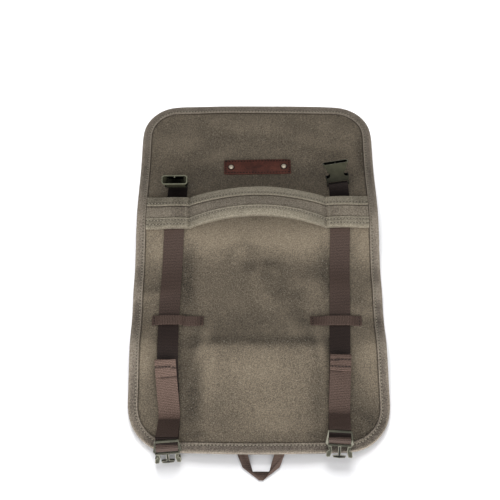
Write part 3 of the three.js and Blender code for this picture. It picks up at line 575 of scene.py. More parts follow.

# %% Where the cloth is rubbed, and where light and shade are painted on it
# Spots of painted light (amount above nought) and painted shade (below nought), standing in for the
# light and shade on folds, ridges, straps and buckles; half sizes in mm
PANEL_LIGHT_AND_SHADE = [
    # The ridge under the handle
    {"x": 0, "y": 54, "wide": 88, "long": 18, "amount": 0.9},
    {"x": 56, "y": 32, "wide": 25, "long": 16, "amount": 0.27},
    {"x": -63, "y": 32, "wide": 20, "long": 17, "amount": 0.18},
    # The pucker and the slanting pleat
    {"x": -14, "y": 40, "wide": 9, "long": 11, "amount": -0.75},
    {"x": -10, "y": 10, "wide": 8, "long": 7, "amount": -0.2},
    {"x": 3, "y": 23, "wide": 12, "long": 7, "amount": 0.2},
    {"x": 10, "y": -5, "wide": 11, "long": 22, "amount": -0.44},
    {"x": 29, "y": -49, "wide": 9, "long": 19, "amount": -0.16},
    {"x": 54, "y": -27, "wide": 16, "long": 11, "amount": -0.38},
    {"x": 18, "y": -30, "wide": 9, "long": 14, "amount": -0.24},
    # Painted shade beside the straps
    {"x": -88, "y": -6, "wide": 10, "long": 48, "amount": -0.46},
    {"x": 86, "y": -2, "wide": 11, "long": 38, "amount": -0.44},
    {"x": -76, "y": -160, "wide": 11, "long": 46, "amount": -0.34},
    {"x": 68, "y": -156, "wide": 11, "long": 42, "amount": -0.4},
    # Painted shadow below the left socket
    {"x": -92, "y": 130, "wide": 12, "long": 12, "amount": -0.25},
    # The crest across the lower half, and below it
    {"x": -58, "y": -95, "wide": 24, "long": 8, "amount": -0.52},
    {"x": 4, "y": -95, "wide": 40, "long": 8, "amount": -0.44},
    {"x": 60, "y": -95, "wide": 24, "long": 8, "amount": -0.6},
    {"x": 16, "y": -214, "wide": 56, "long": 8, "amount": -0.2},
    {"x": -6, "y": -130, "wide": 56, "long": 24, "amount": 0.42},
    {"x": 14, "y": -182, "wide": 44, "long": 24, "amount": 0.38},
    {"x": 20, "y": -198, "wide": 26, "long": 9, "amount": 0.22},
    {"x": 12, "y": -77, "wide": 8, "long": 8, "amount": 0.2},
    {"x": -70, "y": -211, "wide": 12, "long": 7, "amount": -0.34},
    {"x": 68, "y": -211, "wide": 9, "long": 8, "amount": -0.24},
    # Both sides
    {"x": -126, "y": 34, "wide": 20, "long": 24, "amount": 0.4},
    {"x": 135, "y": 36, "wide": 12, "long": 22, "amount": 0.52},
    {"x": -137, "y": -25, "wide": 11, "long": 12, "amount": -0.4},
    {"x": 132, "y": -25, "wide": 11, "long": 11, "amount": -0.28},
    {"x": -125, "y": -111, "wide": 16, "long": 19, "amount": 0.6},
    {"x": -84, "y": -108, "wide": 12, "long": 9, "amount": 0.24},
    {"x": 118, "y": -112, "wide": 13, "long": 22, "amount": 0.5},
    {"x": 128, "y": -196, "wide": 22, "long": 28, "amount": -0.42},
    # The flap
    {"x": -75, "y": 154, "wide": 16, "long": 21, "amount": -0.2},
    {"x": -2, "y": 149, "wide": 58, "long": 9, "amount": -0.15},
    {"x": 72, "y": 155, "wide": 20, "long": 17, "amount": -0.2},
    {"x": -43, "y": 232, "wide": 19, "long": 13, "amount": -0.15},
    {"x": 135, "y": 232, "wide": 12, "long": 12, "amount": 0.16},
    {"x": 141, "y": 180, "wide": 11, "long": 34, "amount": -0.4},
    {"x": 126, "y": 176, "wide": 9, "long": 11, "amount": 0.18},
    {"x": -114, "y": 162, "wide": 16, "long": 11, "amount": 0.2},
]
TAPE_LIGHT_AND_SHADE = [
    # The binding
    {"x": -155, "y": 12, "wide": 15, "long": 22, "amount": 0.34},
    {"x": 153, "y": 15, "wide": 15, "long": 30, "amount": 0.44},
    {"x": -148, "y": -25, "wide": 12, "long": 15, "amount": -0.38},
    {"x": 148, "y": -25, "wide": 12, "long": 11, "amount": -0.22},
    {"x": 0, "y": -228, "wide": 140, "long": 9, "amount": -0.46},
    {"x": 142, "y": -204, "wide": 20, "long": 24, "amount": -0.5},
    {"x": 147, "y": -114, "wide": 16, "long": 26, "amount": -0.4},
    # Painted shadow of the right clip on the binding
    {"x": 77, "y": -238, "wide": 14, "long": 9, "amount": -0.6},
    {"x": 92, "y": -230, "wide": 13, "long": 9, "amount": -0.7},
    {"x": -142, "y": -200, "wide": 16, "long": 20, "amount": -0.24},
    # The band and its tapes
    {"x": -96, "y": 83, "wide": 14, "long": 26, "amount": -0.36},
    {"x": 84, "y": 97, "wide": 45, "long": 11, "amount": 0.45},
    {"x": -3, "y": 68, "wide": 62, "long": 13, "amount": -0.2},
    {"x": -128, "y": 70, "wide": 24, "long": 8, "amount": 0.24},
    {"x": 130, "y": 68, "wide": 24, "long": 8, "amount": 0.5},
    {"x": 93, "y": 86, "wide": 10, "long": 12, "amount": -0.3},
    {"x": 150, "y": 92, "wide": 12, "long": 22, "amount": -0.3},
]
# Rounds of smoothing, and how far above the smoothed cloth a crest is fully rubbed pale; hollows below
# it are painted darker, as shade
CLOTH_WEAR_AND_SHADE = {"reach": 3, "full": 0.35 * MM}
LEVEL_WEAR = 0.4
CREST_WEAR_AND_HOLLOW_SHADE = 0.5


def painted_light_at(place, painted_spots):
    """Sum of the spots of painted light and painted shade at a place."""
    total = 0.0
    for spot in painted_spots:
        across = (place.x / MM - spot["x"]) / spot["wide"]
        along = (place.y / MM - spot["y"]) / spot["long"]
        total += spot["amount"] * math.exp(-(across**2) - along**2)
    return total


def mark_wear_and_painted_light(piece, reach, full, painted_spots=()):
    """Stores how pale each point is: worn crests near 1, painted shade in hollows near 0, and a table's
    spots.
    """
    mesh = piece.data
    links = [[] for _ in mesh.vertices]
    for edge in mesh.edges:
        first, second = edge.vertices
        links[first].append(second)
        links[second].append(first)
    place = [vertex.co.copy() for vertex in mesh.vertices]
    soft = list(place)
    for _ in range(reach):
        soft = [sum((soft[k] for k in near), soft[i]) / (len(near) + 1) for i, near in enumerate(links)]
    store = mesh.attributes.new("wear_and_painted_light", "FLOAT", "POINT")
    for i, vertex in enumerate(mesh.vertices):
        stand = (place[i] - soft[i]).dot(vertex.normal)
        wear_and_painted_light = LEVEL_WEAR + CREST_WEAR_AND_HOLLOW_SHADE * stand / full + painted_light_at(place[i], painted_spots)
        store.data[i].value = min(1.0, max(0.0, wear_and_painted_light))


print("rubbed places", len(PANEL_LIGHT_AND_SHADE) + len(TAPE_LIGHT_AND_SHADE))

# %% [markdown]
# ## The canvas panel
# The panel is one piece of heavy canvas. A cloth simulation would lay it by chance; the photograph fixes
# where each fold lies, so the folds come from the CAD cage and the table above.

# %% Canvas panel
panel = cage_of("canvas_panel", "canvas_panel_cloth")
rounded(panel, 2)
lay(panel)
mark_wear_and_painted_light(panel, **CLOTH_WEAR_AND_SHADE, painted_spots=PANEL_LIGHT_AND_SHADE)
finished(panel, "canvas_panel", cloths["waxed_canvas"])

# %% [markdown]
# ## Tape round the edges
# The edge is covered by a folded strip of canvas. Its CAD ring has square corners, so a small bevel keeps
# the fold and the two free edges firm while the subdivision smooths the long way.

# %% Edge binding and handle tapes
TAPE_EDGE = 0.45


def tape_piece(node, name, finish):
    piece = cage_of(node, name)
    softened_edges(piece, TAPE_EDGE)
    rounded(piece, 1)
    lay(piece)
    mark_wear_and_painted_light(piece, **CLOTH_WEAR_AND_SHADE, painted_spots=TAPE_LIGHT_AND_SHADE)
    return finished(piece, node, cloths[finish])


binding = tape_piece("edge_binding", "edge_binding_tape", "binding_canvas")
upper_tape = tape_piece("handle_binding_upper", "handle_tape_upper", "hem_canvas")
lower_tape = tape_piece("handle_binding_lower", "handle_tape_lower", "hem_canvas")

# %% [markdown]
# ## The handle
# A band of canvas lies across the roll. Its two sides are sewn down over the straps, and its middle
# stands free as the grab handle. It could be bent from a flat strip, but the CAD cage already has the
# arch, so that rounding it is enough.

# %% Handle band
band = cage_of("handle_band", "handle_band_cloth")
softened_edges(band, TAPE_EDGE)
rounded(band, 2)
lay(band)
mark_wear_and_painted_light(band, **CLOTH_WEAR_AND_SHADE, painted_spots=TAPE_LIGHT_AND_SHADE)
finished(band, "handle_band", cloths["band_canvas"])

# %% [markdown]
# ## Webbing
# Nylon webbing is a thick narrow weave: ribs run across it and cords along it, and it shines a little.
# The pattern has to follow the strap round its bends, so each strap gets a map: how far along it a point
# lies, and how far across. It also carries how pale each stretch is painted, as painted light and
# shade: darkest at the socket and under the doubled tail, where shade falls, and palest on the tail
# itself, which faces the light.

# %% Webbing finish
DARK_WEBBING = {"dark": tone(16, 11, 10), "pale": tone(64, 50, 46)}
PALE_WEBBING = {"dark": tone(62, 47, 41), "pale": tone(172, 143, 128)}
RIB_PITCH = 2.0 * MM
CORD_PITCH = 1.7 * MM
FIBRE_STRETCH = (1300, 900, 1)
NYLON_RELIEF = {"ribs": 0.6, "knots": 0.5, "fibre": 0.8, "bump_mm": 0.1}
NYLON_SHADE = {"fibre": 1.2, "ribs": 0.12, "wear_and_painted_light": 0.4, "from": 0.45, "to": 1.1}
NYLON_ROUGH = {"to_low": 0.5, "to_high": 0.66}
# Where the webbing is painted darkest it is rougher too
DARK_WEBBING_ROUGH = {"low": 0, "high": 0.05, "to_low": 0.3, "to_high": 0}
NYLON_SHINE = 0.35


def webbing_finish(name):
    nylon = Finish(name)
    strip = nylon.surface_map()
    ribs = nylon.wave(strip, 1, RIB_PITCH)
    knots = ribs * nylon.wave(strip, 0, CORD_PITCH)
    fibre = nylon.grain(nylon.stretched(strip, FIBRE_STRETCH), 1.0, 1.0)
    height = ribs * NYLON_RELIEF["ribs"] + knots * NYLON_RELIEF["knots"] + fibre * NYLON_RELIEF["fibre"]
    wear_and_painted_light = nylon.attribute("wear_and_painted_light") * NYLON_SHADE["wear_and_painted_light"]
    tint = fibre * NYLON_SHADE["fibre"] + ribs * NYLON_SHADE["ribs"] + wear_and_painted_light
    shade = nylon.band(tint, NYLON_SHADE["from"], NYLON_SHADE["to"])
    # The attribute mixes the webbing from its dark to its pale tones: painted light and shade on the straps,
    # given tones on the keepers and the hanging loop
    tone_and_light = nylon.attribute("tone_and_light")
    shades = [nylon.mix(shade, ends["dark"], ends["pale"]) for ends in (DARK_WEBBING, PALE_WEBBING)]
    color = nylon.mix(tone_and_light, *shades)
    rough = nylon.band(fibre, 0, 1, **NYLON_ROUGH) + nylon.band(tone_and_light, **DARK_WEBBING_ROUGH)
    return nylon.done(color, rough, height, NYLON_RELIEF["bump_mm"], Specular_IOR_Level=NYLON_SHINE)


webbing = webbing_finish("brown_webbing")
print("finish", webbing.name)

# %% [markdown]
# ## A map along each strap
# A strap leaves its socket, passes under the handle and through its keeper, turns round the bar of the
# clip and comes back as a tail. Unwrapping it by hand would need seams at every bend. Its CAD mesh is a
# chain of equal cross-sections, so walking from each to the next gives the way along it, and that way is
# the map.

# %% Following a strap
STRAP_WIDTH = 25 * MM
STRAP_THICKNESS = 1.5 * MM
SAME = 0.004 * MM


def strap_rings(mesh_tool):
    """The strap's cross-sections, in order from one end to the other, as lists of points."""
    ring_of = {}
    rings = []
    linked = {vertex: [] for vertex in mesh_tool.verts}
    for edge in mesh_tool.edges:
        length = edge.calc_length()
        if abs(length - STRAP_WIDTH) < SAME or abs(length - STRAP_THICKNESS) < SAME:
            first, second = edge.verts
            linked[first].append(second)
            linked[second].append(first)
    for start in mesh_tool.verts:
        if start in ring_of:
            continue
        group, queue = [], [start]
        ring_of[start] = len(rings)
        while queue:
            vertex = queue.pop()
            group.append(vertex)
            for other in linked[vertex]:
                if other not in ring_of:
                    ring_of[other] = len(rings)
                    queue.append(other)
        rings.append(group)
    near = [set() for _ in rings]
    for edge in mesh_tool.edges:
        first, second = (ring_of[vertex] for vertex in edge.verts)
        if first != second:
            near[first].add(second)
            near[second].add(first)
    order = [next(i for i, around in enumerate(near) if len(around) == 1)]
    while True:
        ahead = [i for i in near[order[-1]] if i not in order]
        if not ahead:
            break
        order.append(ahead[0])
    ordered = [rings[i] for i in order]
    starts_at_socket = ordered[0][0].co.y > ordered[-1][0].co.y
    return ordered if starts_at_socket else ordered[::-1]


def map_strap(piece):
    """Maps a strap, across it and then along it, in metres; tells its length and where it doubles back."""
    tool = bmesh.new()
    tool.from_mesh(piece.data)
    layer = tool.loops.layers.uv.new("strip")
    way = tool.verts.layers.float.new("run")
    spot = {}
    rings = strap_rings(tool)
    middles = [sum((vertex.co for vertex in ring), Vector()) / len(ring) for ring in rings]
    turn = min(range(len(rings)), key=lambda i: middles[i].y)
    run, turn_run, last_side = 0.0, 0.0, None
    for i, ring in enumerate(rings):
        wide = [edge for edge in ring[0].link_edges if abs(edge.calc_length() - STRAP_WIDTH) < SAME]
        across = (wide[0].other_vert(ring[0]).co - ring[0].co).normalized()
        if last_side is not None and across.dot(last_side) < 0:
            across = -across
        if i > 0:
            run += (middles[i] - middles[i - 1]).length
        if i == turn:
            turn_run = run
        for vertex in ring:
            spot[vertex] = ((vertex.co - middles[i]).dot(across), run)
            vertex[way] = run
        last_side = across
    for face in tool.faces:
        for loop in face.loops:
            loop[layer].uv = spot[loop.vert]
    tool.to_mesh(piece.data)
    tool.free()
    return run, turn_run


print("strap width", STRAP_WIDTH, "m")

# %% How pale a strap is painted
# Painted light and shade along a strap, nought darkest: the sewn end at the socket, the run from the
# handle and its darker end at the keeper, the run under the tail, the turn round the clip's bar, the
# shaded piece behind it and the slope up to the crease
STRAP_PAINTED_LIGHT = {
    "socket": 0.0,
    "run": 0.42,
    "run_end": 0.27,
    "covered": 0.06,
    "turn": 0.36,
    "shade": 0.0,
    "slope": 0.36,
}
STRAP_LIGHT_STEPS = {"handle": 100, "keeper": -62, "clip": -205}
# Each tail and its folded end, painted pale as lit, with the places of its crease and of the clip's bar
TAILS = {
    "left": {"crease": -190.5, "bar": -229.6, "tail": 0.92, "hem": 1.0},
    "right": {"crease": -184.5, "bar": -220.6, "tail": 0.56, "hem": 0.78},
}
SHADE = {"from": 2.4, "to": 11}
HEM_LENGTH = 19
# How dark the seam rows of the folded end are, and the painted shadow beside the fold's free edge
HEM_LINE_AND_SHADE = 0.3
HEM_ROWS = {"left": (9.5,), "right": (7.5, 15.5)}
HEM_ROW_HALF = 1.2
HEM_SHADE = 2.2
END_ZONE = 2


def painted_light_of(y, doubled, tail):
    """How pale the webbing is painted at y mm, as light and shade, before or after it doubles back."""
    if doubled and y > tail["crease"]:
        return tail["tail"]
    if doubled and y > tail["bar"] + SHADE["to"]:
        return STRAP_PAINTED_LIGHT["slope"]
    if doubled and y > tail["bar"] + SHADE["from"]:
        return STRAP_PAINTED_LIGHT["shade"]
    if y > STRAP_LIGHT_STEPS["handle"]:
        return STRAP_PAINTED_LIGHT["socket"]
    if y > STRAP_LIGHT_STEPS["keeper"]:
        share = (STRAP_LIGHT_STEPS["handle"] - y) / (STRAP_LIGHT_STEPS["handle"] - STRAP_LIGHT_STEPS["keeper"])
        return STRAP_PAINTED_LIGHT["run"] + (STRAP_PAINTED_LIGHT["run_end"] - STRAP_PAINTED_LIGHT["run"]) * share**2
    return STRAP_PAINTED_LIGHT["covered"] if y > STRAP_LIGHT_STEPS["clip"] else STRAP_PAINTED_LIGHT["turn"]


def tail_end(piece, turn_run):
    """Middle of the tail's folded end in plan, in mm: the highest y after the strap doubles back."""
    run = piece.data.attributes["run"].data
    places = [v.co for v in piece.data.vertices if run[v.index].value > turn_run]
    end = max(place.y for place in places)
    near = [place.x for place in places if place.y > end - END_ZONE * MM]
    return (min(near) + max(near)) / 2 / MM, end / MM


def mark_painted_light(piece, length, turn_run, side):
    """Paints light and shade on a strap; darker seams on its folded end, painted shadow beside the fold."""
    end = tail_end(piece, turn_run)[1]
    values = []
    for vertex in piece.data.vertices:
        run = piece.data.attributes["run"].data[vertex.index].value
        from_end = end - vertex.co.y / MM
        if run > length - HEM_LENGTH * MM:
            on_row = any(abs(from_end - row) < HEM_ROW_HALF for row in HEM_ROWS[side])
            values.append(HEM_LINE_AND_SHADE if on_row else TAILS[side]["hem"])
        elif run > turn_run and 0 < from_end - HEM_LENGTH < HEM_SHADE:
            values.append(HEM_LINE_AND_SHADE)
        else:
            values.append(painted_light_of(vertex.co.y / MM, run > turn_run, TAILS[side]))
    piece.data.attributes.new("tone_and_light", "FLOAT", "POINT").data.foreach_set("value", values)


print("webbing fades at", STRAP_LIGHT_STEPS)

# %% Straps
STRAP_EDGE = {"width_mm": 0.4, "angle": 60}
straps = {}
TAIL_ENDS = {}
for side in ("left", "right"):
    strap = cage_of(f"strap_{side}", f"strap_webbing_{side}")
    length, turn_run = map_strap(strap)
    softened_edges(strap, **STRAP_EDGE)
    rounded(strap, 2)
    mark_painted_light(strap, length, turn_run, side)
    TAIL_ENDS[side] = tail_end(strap, turn_run)
    lay(strap)
    mark_wear_and_painted_light(strap, **CLOTH_WEAR_AND_SHADE)
    # The sewn end at the socket is never rubbed pale; it stays dark as painted shade under the socket
    for vertex, wear_and_painted_light in zip(strap.data.vertices, strap.data.attributes["wear_and_painted_light"].data):
        if vertex.co.y > STRAP_LIGHT_STEPS["handle"] * MM:
            wear_and_painted_light.value = 0.0
    straps[side] = finished(strap, f"strap_{side}", webbing)
    print("strap", side, "length", round(length, 3), "m")

# %% [markdown]
# ## Short pieces of tape
# Each keeper is a belt loop that holds its strap down, and the hanging loop is a tape folded to a point.
# They are short and nearly flat, so a map taken straight from two axes follows them well enough.

# %% Keepers and hanging loop
# A keeper's loop is a little paler than its sewn feet
KEEPER_TONES = {"loop": 0.46, "foot": 0.42, "foot_width": 8 * MM}
LOOP_FADE = 0.3
LOOP_EDGE = {"width_mm": 0.35, "angle": 40}
LOOP_SMOOTH = 40


def map_flat(piece, across, along, paleness):
    """Map of a flat strip from two of its place's axes, and how pale each point is."""
    piece.data.attributes.new("tone_and_light", "FLOAT", "POINT").data.foreach_set("value", paleness)
    layer = piece.data.uv_layers.new(name="strip")
    for loop in piece.data.loops:
        place = piece.data.vertices[loop.vertex_index].co
        layer.data[loop.index].uv = (place[across], place[along])


keepers = {}
for side in ("left", "right"):
    keeper = cage_of(f"strap_keeper_{side}", f"keeper_{side}")
    softened_edges(keeper, **STRAP_EDGE)
    rounded(keeper, 2)
    low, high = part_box(f"strap_keeper_{side}")
    from_end = [min(v.co.x - low[0], high[0] - v.co.x) for v in keeper.data.vertices]
    paleness = [KEEPER_TONES["foot" if gap < KEEPER_TONES["foot_width"] else "loop"] for gap in from_end]
    map_flat(keeper, 1, 0, paleness)
    lay(keeper)
    mark_wear_and_painted_light(keeper, **CLOTH_WEAR_AND_SHADE)
    keepers[side] = finished(keeper, f"strap_keeper_{side}", webbing)

loop_tape = cage_of("hang_loop", "hang_loop_tape")
map_flat(loop_tape, 0, 1, [LOOP_FADE] * len(loop_tape.data.vertices))
softened_edges(loop_tape, **LOOP_EDGE)
mark_wear_and_painted_light(loop_tape, **CLOTH_WEAR_AND_SHADE)
finished(loop_tape, "hang_loop", webbing, LOOP_SMOOTH)

# %% [markdown]
# ## Moulded buckles
# Side-release buckles are moulded in one shot of plastic, so every edge is a little round. The finish
# paints those edges pale as highlights, the clips' sunk guides and the insides of hollows dark as
# shade, and each socket darker towards its foot as shade. The CAD solids have the right walls and
# slots; flat triangles are first dissolved to whole faces, so that the bevel meets clean edges. The
# clips also have thin rims along their arms and a sunk guide between them. These could be cut with a
# boolean, but an inset of the flat tops is cleaner.

# %% Plastic finishes
# One plastic in two copies: the sockets' tones are darker, as painted shade, for they stand in the handle's
# shade; the clips' are paler, as painted light
PLASTICS = {
    "socket_plastic": {
        "dark": (70, 69, 55),
        "body": (98, 97, 78),
        "rubbed_and_lit": (142, 142, 122),
        "shine": 0.08,
    },
    "clip_plastic": {
        "dark": (58, 58, 48),
        "body": (92, 91, 75),
        "rubbed_and_lit": (164, 161, 145),
        "shine": 0.3,
    },
}
# Painted shade: towards a socket's foot and in the clips' sunk guides, and near black inside hollows
PAINTED_SHADE_TONE = tone(16, 15, 11)
INNER_SHADE_TONE = tone(10, 10, 8)
PLASTIC_GRAINS = {"speckle": 1800.0, "cloud": 120.0}
MOTTLE = {"cloud": 0.7, "speckle": 0.3, "from": 0.3, "to": 0.7}
EDGE_HIGHLIGHT = {"low": 0.3, "high": 0.6, "to_low": 0.6, "to_high": 1.0}
PLASTIC_ROUGH = {"low": 0.2, "high": 0.8, "to_low": 0.48, "to_high": 0.62}
PLASTIC_BUMP = 0.03


def plastic_finish(name, dark, body, rubbed_and_lit, shine):
    plastic = Finish(name)
    where = plastic.place()
    speckle = plastic.grain(where, PLASTIC_GRAINS["speckle"], 2.0)
    cloudy = plastic.grain(where, PLASTIC_GRAINS["cloud"], 3.0)
    mottled = cloudy * MOTTLE["cloud"] + speckle * MOTTLE["speckle"]
    base = plastic.mix(plastic.band(mottled, MOTTLE["from"], MOTTLE["to"]), tone(*dark), tone(*body))
    # Painted highlights on marked edges; painted shade at a socket's foot, in sunk guides and inside hollows
    edge = plastic.attribute("edge") * plastic.band(cloudy, **EDGE_HIGHLIGHT)
    deep = plastic.attribute("deep").larger(plastic.attribute("hollow"))
    outer = plastic.mix(deep, plastic.mix(edge, base, tone(*rubbed_and_lit)), PAINTED_SHADE_TONE)
    color = plastic.mix(plastic.attribute("inner"), outer, INNER_SHADE_TONE)
    rough = plastic.band(speckle, **PLASTIC_ROUGH)
    return plastic.done(color, rough, speckle, PLASTIC_BUMP, Specular_IOR_Level=shine)


plastics = {name: plastic_finish(name, **row) for name, row in PLASTICS.items()}
print("finishes", list(plastics))

# %% Rims of the clips
# Material slots mark the edges that get a painted highlight and the hollows that get painted shade,
# until the finish has its attributes
MARKS = {"edge": 1, "hollow": 2}
# Faces of a clip are known by their way up and by their area in square mm
CLIP_TOPS = {"arm": 57.0, "guide": 72.6}
SIDE_BARS = 50.0
SAME_AREA = 1
SAME_WAY = 0.99
SIDEWAYS = 0.7
CLIP_RIM = 0.6
GUIDE_SINK = {"slope": 0.05, "depth": 0.6}


def pick_faces(piece, wanted):
    """Selects the faces that a test asks for, and leaves the piece in edit mode."""
    take(piece)
    bpy.ops.object.mode_set(mode="EDIT")
    bpy.ops.mesh.select_mode(type="FACE")
    bpy.ops.mesh.select_all(action="DESELECT")
    bpy.ops.object.mode_set(mode="OBJECT")
    for face in piece.data.polygons:
        face.select = wanted(face)
    bpy.ops.object.mode_set(mode="EDIT")


def put_in_slot(piece, number):
    """Gives the selected faces a material slot."""
    piece.active_material_index = number
    bpy.ops.object.material_slot_assign()


def rib_clip(piece):
    """Thin rims round a clip's arms and guide, for painted highlights; the guide sunk, for painted shade."""
    top = max(piece.data.polygons, key=lambda face: face.area * (face.normal.z > 0)).normal.copy()

    def is_top(face, area):
        return face.normal.dot(top) > SAME_WAY and abs(face.area / MM**2 - area) < SAME_AREA

    for part, area in CLIP_TOPS.items():
        pick_faces(piece, lambda face: is_top(face, area))
        put_in_slot(piece, MARKS["edge"])
        bpy.ops.mesh.inset(thickness=CLIP_RIM * MM, depth=0, use_individual=True)
        put_in_slot(piece, MARKS["hollow"] if part == "guide" else 0)
        if part == "guide":
            bpy.ops.mesh.inset(thickness=GUIDE_SINK["slope"] * MM, depth=-GUIDE_SINK["depth"] * MM)
        bpy.ops.object.mode_set(mode="OBJECT")
    # Side bars and faces that look sideways are marked for the painted highlight too
    for face in piece.data.polygons:
        if is_top(face, SIDE_BARS) or abs(face.normal.x) > SIDEWAYS:
            face.material_index = MARKS["edge"]


print("clip rims", CLIP_RIM, "mm")

# %% Marks that the plastic reads
CLEAR = 0.05
# How dark the painted shade at a socket's foot is, and at which share of its length, past the mouth,
# that shade would end
FOOT_SHADE = {"dark": 1.0, "share": 1.2}
# A rim's faces lie past this share of the length and look this much the mouth's way; they get a
# painted highlight
RIM = {"share": 0.9, "way": 0.6}


def marked_bevel(piece, width_mm, angle):
    """Bevels a piece's edges and marks faces by their material slots, which are taken away again."""
    # The bevel's new faces go to the slot of edges with a painted highlight
    settings = {"limit_method": "ANGLE", "angle_limit": math.radians(angle), "material": MARKS["edge"]}
    apply_modifier(piece, "BEVEL", width=width_mm * MM, segments=2, **settings)
    slots = [face.material_index for face in piece.data.polygons]
    for name, number in MARKS.items():
        store = piece.data.attributes.new(name, "FLOAT", "FACE")
        store.data.foreach_set("value", [float(slot == number) for slot in slots])
    piece.data.polygons.foreach_set("material_index", [0] * len(slots))


def tree_of(piece):
    places = [vertex.co for vertex in piece.data.vertices]
    return BVHTree.FromPolygons(places, [face.vertices for face in piece.data.polygons])


def largest_triangles(mesh):
    """The largest triangle of each face, whose middle lies on the face even if that goes round a gap."""
    mesh.calc_loop_triangles()
    largest = {}
    for triangle in mesh.loop_triangles:
        rival = largest.get(triangle.polygon_index)
        if rival is None or triangle.area > rival.area:
            largest[triangle.polygon_index] = triangle
    return largest


def mark_inner_shade(piece, reach_mm):
    """Marks faces that look at another wall of the same piece close by: painted near black as shade."""
    tree = tree_of(piece)
    store = piece.data.attributes.new("inner", "FLOAT", "FACE")
    largest = largest_triangles(piece.data)
    for face in piece.data.polygons:
        start = Vector(largest[face.index].center) + face.normal * (CLEAR * MM)
        hit = tree.ray_cast(start, face.normal, reach_mm * MM)
        store.data[face.index].value = float(hit[0] is not None)


def mark_rim_highlight_and_foot_shade(piece, lean):
    """Marks a socket's rim for a painted highlight, and how far each point lies towards its foot's shade."""
    along = Vector((0, math.cos(math.radians(lean)), math.sin(math.radians(lean))))
    reach = [vertex.co.dot(along) for vertex in piece.data.vertices]
    low, high = min(reach), max(reach)
    shares = [(value - low) / (high - low) for value in reach]
    shade = [FOOT_SHADE["dark"] * min(1.0, max(0.0, 1 - share / FOOT_SHADE["share"])) for share in shares]
    piece.data.attributes.new("deep", "FLOAT", "POINT").data.foreach_set("value", shade)
    for face in piece.data.polygons:
        share = (face.center.dot(along) - low) / (high - low)
        if share > RIM["share"] and face.normal.dot(along) > RIM["way"]:
            piece.data.attributes["edge"].data[face.index].value = 1.0


print("marks", list(MARKS))

# %% Buckles
FLAT_ANGLE = 1.5
INSIDE_REACH = {"socket": 40, "clip": 5}
ROUNDING = {"socket": 0.55, "clip": 0.6}
ROUNDED_ANGLE = 35
BUCKLE_SMOOTH = 38
# The way that a socket's mouth looks, in degrees up from the label end
LEANS = {"buckle_socket_left": 113, "buckle_socket_right": 52}
for node in BUCKLES:
    half = node.split("_")[1]
    plastic = plastics[f"{half}_plastic"]
    buckle = cage_of(node, f"{node}_moulding")
    take(buckle)
    bpy.ops.object.mode_set(mode="EDIT")
    bpy.ops.mesh.select_all(action="SELECT")
    bpy.ops.mesh.dissolve_limited(angle_limit=math.radians(FLAT_ANGLE))
    bpy.ops.object.mode_set(mode="OBJECT")
    for _ in range(1 + len(MARKS)):
        buckle.data.materials.append(plastic)
    if half == "clip":
        rib_clip(buckle)
    marked_bevel(buckle, ROUNDING[half], ROUNDED_ANGLE)
    mark_inner_shade(buckle, INSIDE_REACH[half])
    if node in LEANS:
        mark_rim_highlight_and_foot_shade(buckle, LEANS[node])
    finished(buckle, node, plastic, BUCKLE_SMOOTH)

# %% [markdown]
# ## Leather label and rivets
# The label is a strip of dyed leather with a stitched border, held by two domed rivets. Leather shows
# fine pores on soft clouds of dye, and both come from noise at two scales. Round each rivet the finish
# draws a dark ring by the distance from the rivet's middle: partly leather pressed by the rivet, partly
# painted shadow of its rim.

# %% Leather label
# The dark ring round each rivet: partly leather pressed by the rivet, partly painted shadow of its rim
RIVET_RING = {"middle": 4.0, "half": 0.5, "soft": 0.6}
RING_DARK = 0.8
PRESSED_RING_SHADOW_TONE = tone(30, 16, 12)
LEATHER_TONES = (tone(60, 32, 25), tone(132, 75, 60))
LEATHER_GRAINS = {"pores": 700.0, "clouds": 90.0}
LEATHER_DYE = {"clouds": 0.5, "pores": 0.6, "from": 0.35, "to": 0.75}
LEATHER_ROUGH = {"low": 0.2, "high": 0.8, "to_low": 0.45, "to_high": 0.62}
LEATHER_BUMP = 0.12
LABEL_EDGE = {"width_mm": 0.4, "angle": 40}
LABEL_SMOOTH = 30


def leather_finish(name):
    hide = Finish(name)
    where = hide.place()
    pores = hide.grain(where, LEATHER_GRAINS["pores"], 3.0)
    clouds = hide.grain(where, LEATHER_GRAINS["clouds"], 3.0)
    dye = clouds * LEATHER_DYE["clouds"] + pores * LEATHER_DYE["pores"]
    color = hide.mix(hide.band(dye, LEATHER_DYE["from"], LEATHER_DYE["to"]), *LEATHER_TONES)
    for low, high in (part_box("label_rivet_left"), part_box("label_rivet_right")):
        off_x, off_y = (hide.axis(where, k) - (low[k] + high[k]) / 2 for k in (0, 1))
        ring = hide.line((off_x * off_x + off_y * off_y) ** 0.5, **RIVET_RING)
        color = hide.mix(ring * RING_DARK, color, PRESSED_RING_SHADOW_TONE)
    return hide.done(color, hide.band(pores, **LEATHER_ROUGH), pores, LEATHER_BUMP)


label = cage_of("leather_label", "leather_label_strip")
softened_edges(label, **LABEL_EDGE)
lay(label)
finished(label, "leather_label", leather_finish("red_brown_leather"), LABEL_SMOOTH)

# %% Rivets
BRASS_TONES = (tone(226, 208, 180), tone(252, 242, 224))
BRASS_GRAIN = 900.0
BRASS_ROUGH = {"low": 0.3, "high": 0.7, "to_low": 0.25, "to_high": 0.4}
BRASS_METALLIC = 0.35


def brass_finish(name):
    metal = Finish(name)
    scuffs = metal.grain(metal.place(), BRASS_GRAIN, 3.0)
    rough = metal.band(scuffs, **BRASS_ROUGH)
    return metal.done(metal.mix(scuffs, *BRASS_TONES), rough, Metallic=BRASS_METALLIC)


brass = brass_finish("pale_brass")
for side in ("left", "right"):
    node = f"label_rivet_{side}"
    rivet = cage_of(node, f"rivet_head_{side}")
    rounded(rivet, 1)
    lay(rivet)
    finished(rivet, node, brass)

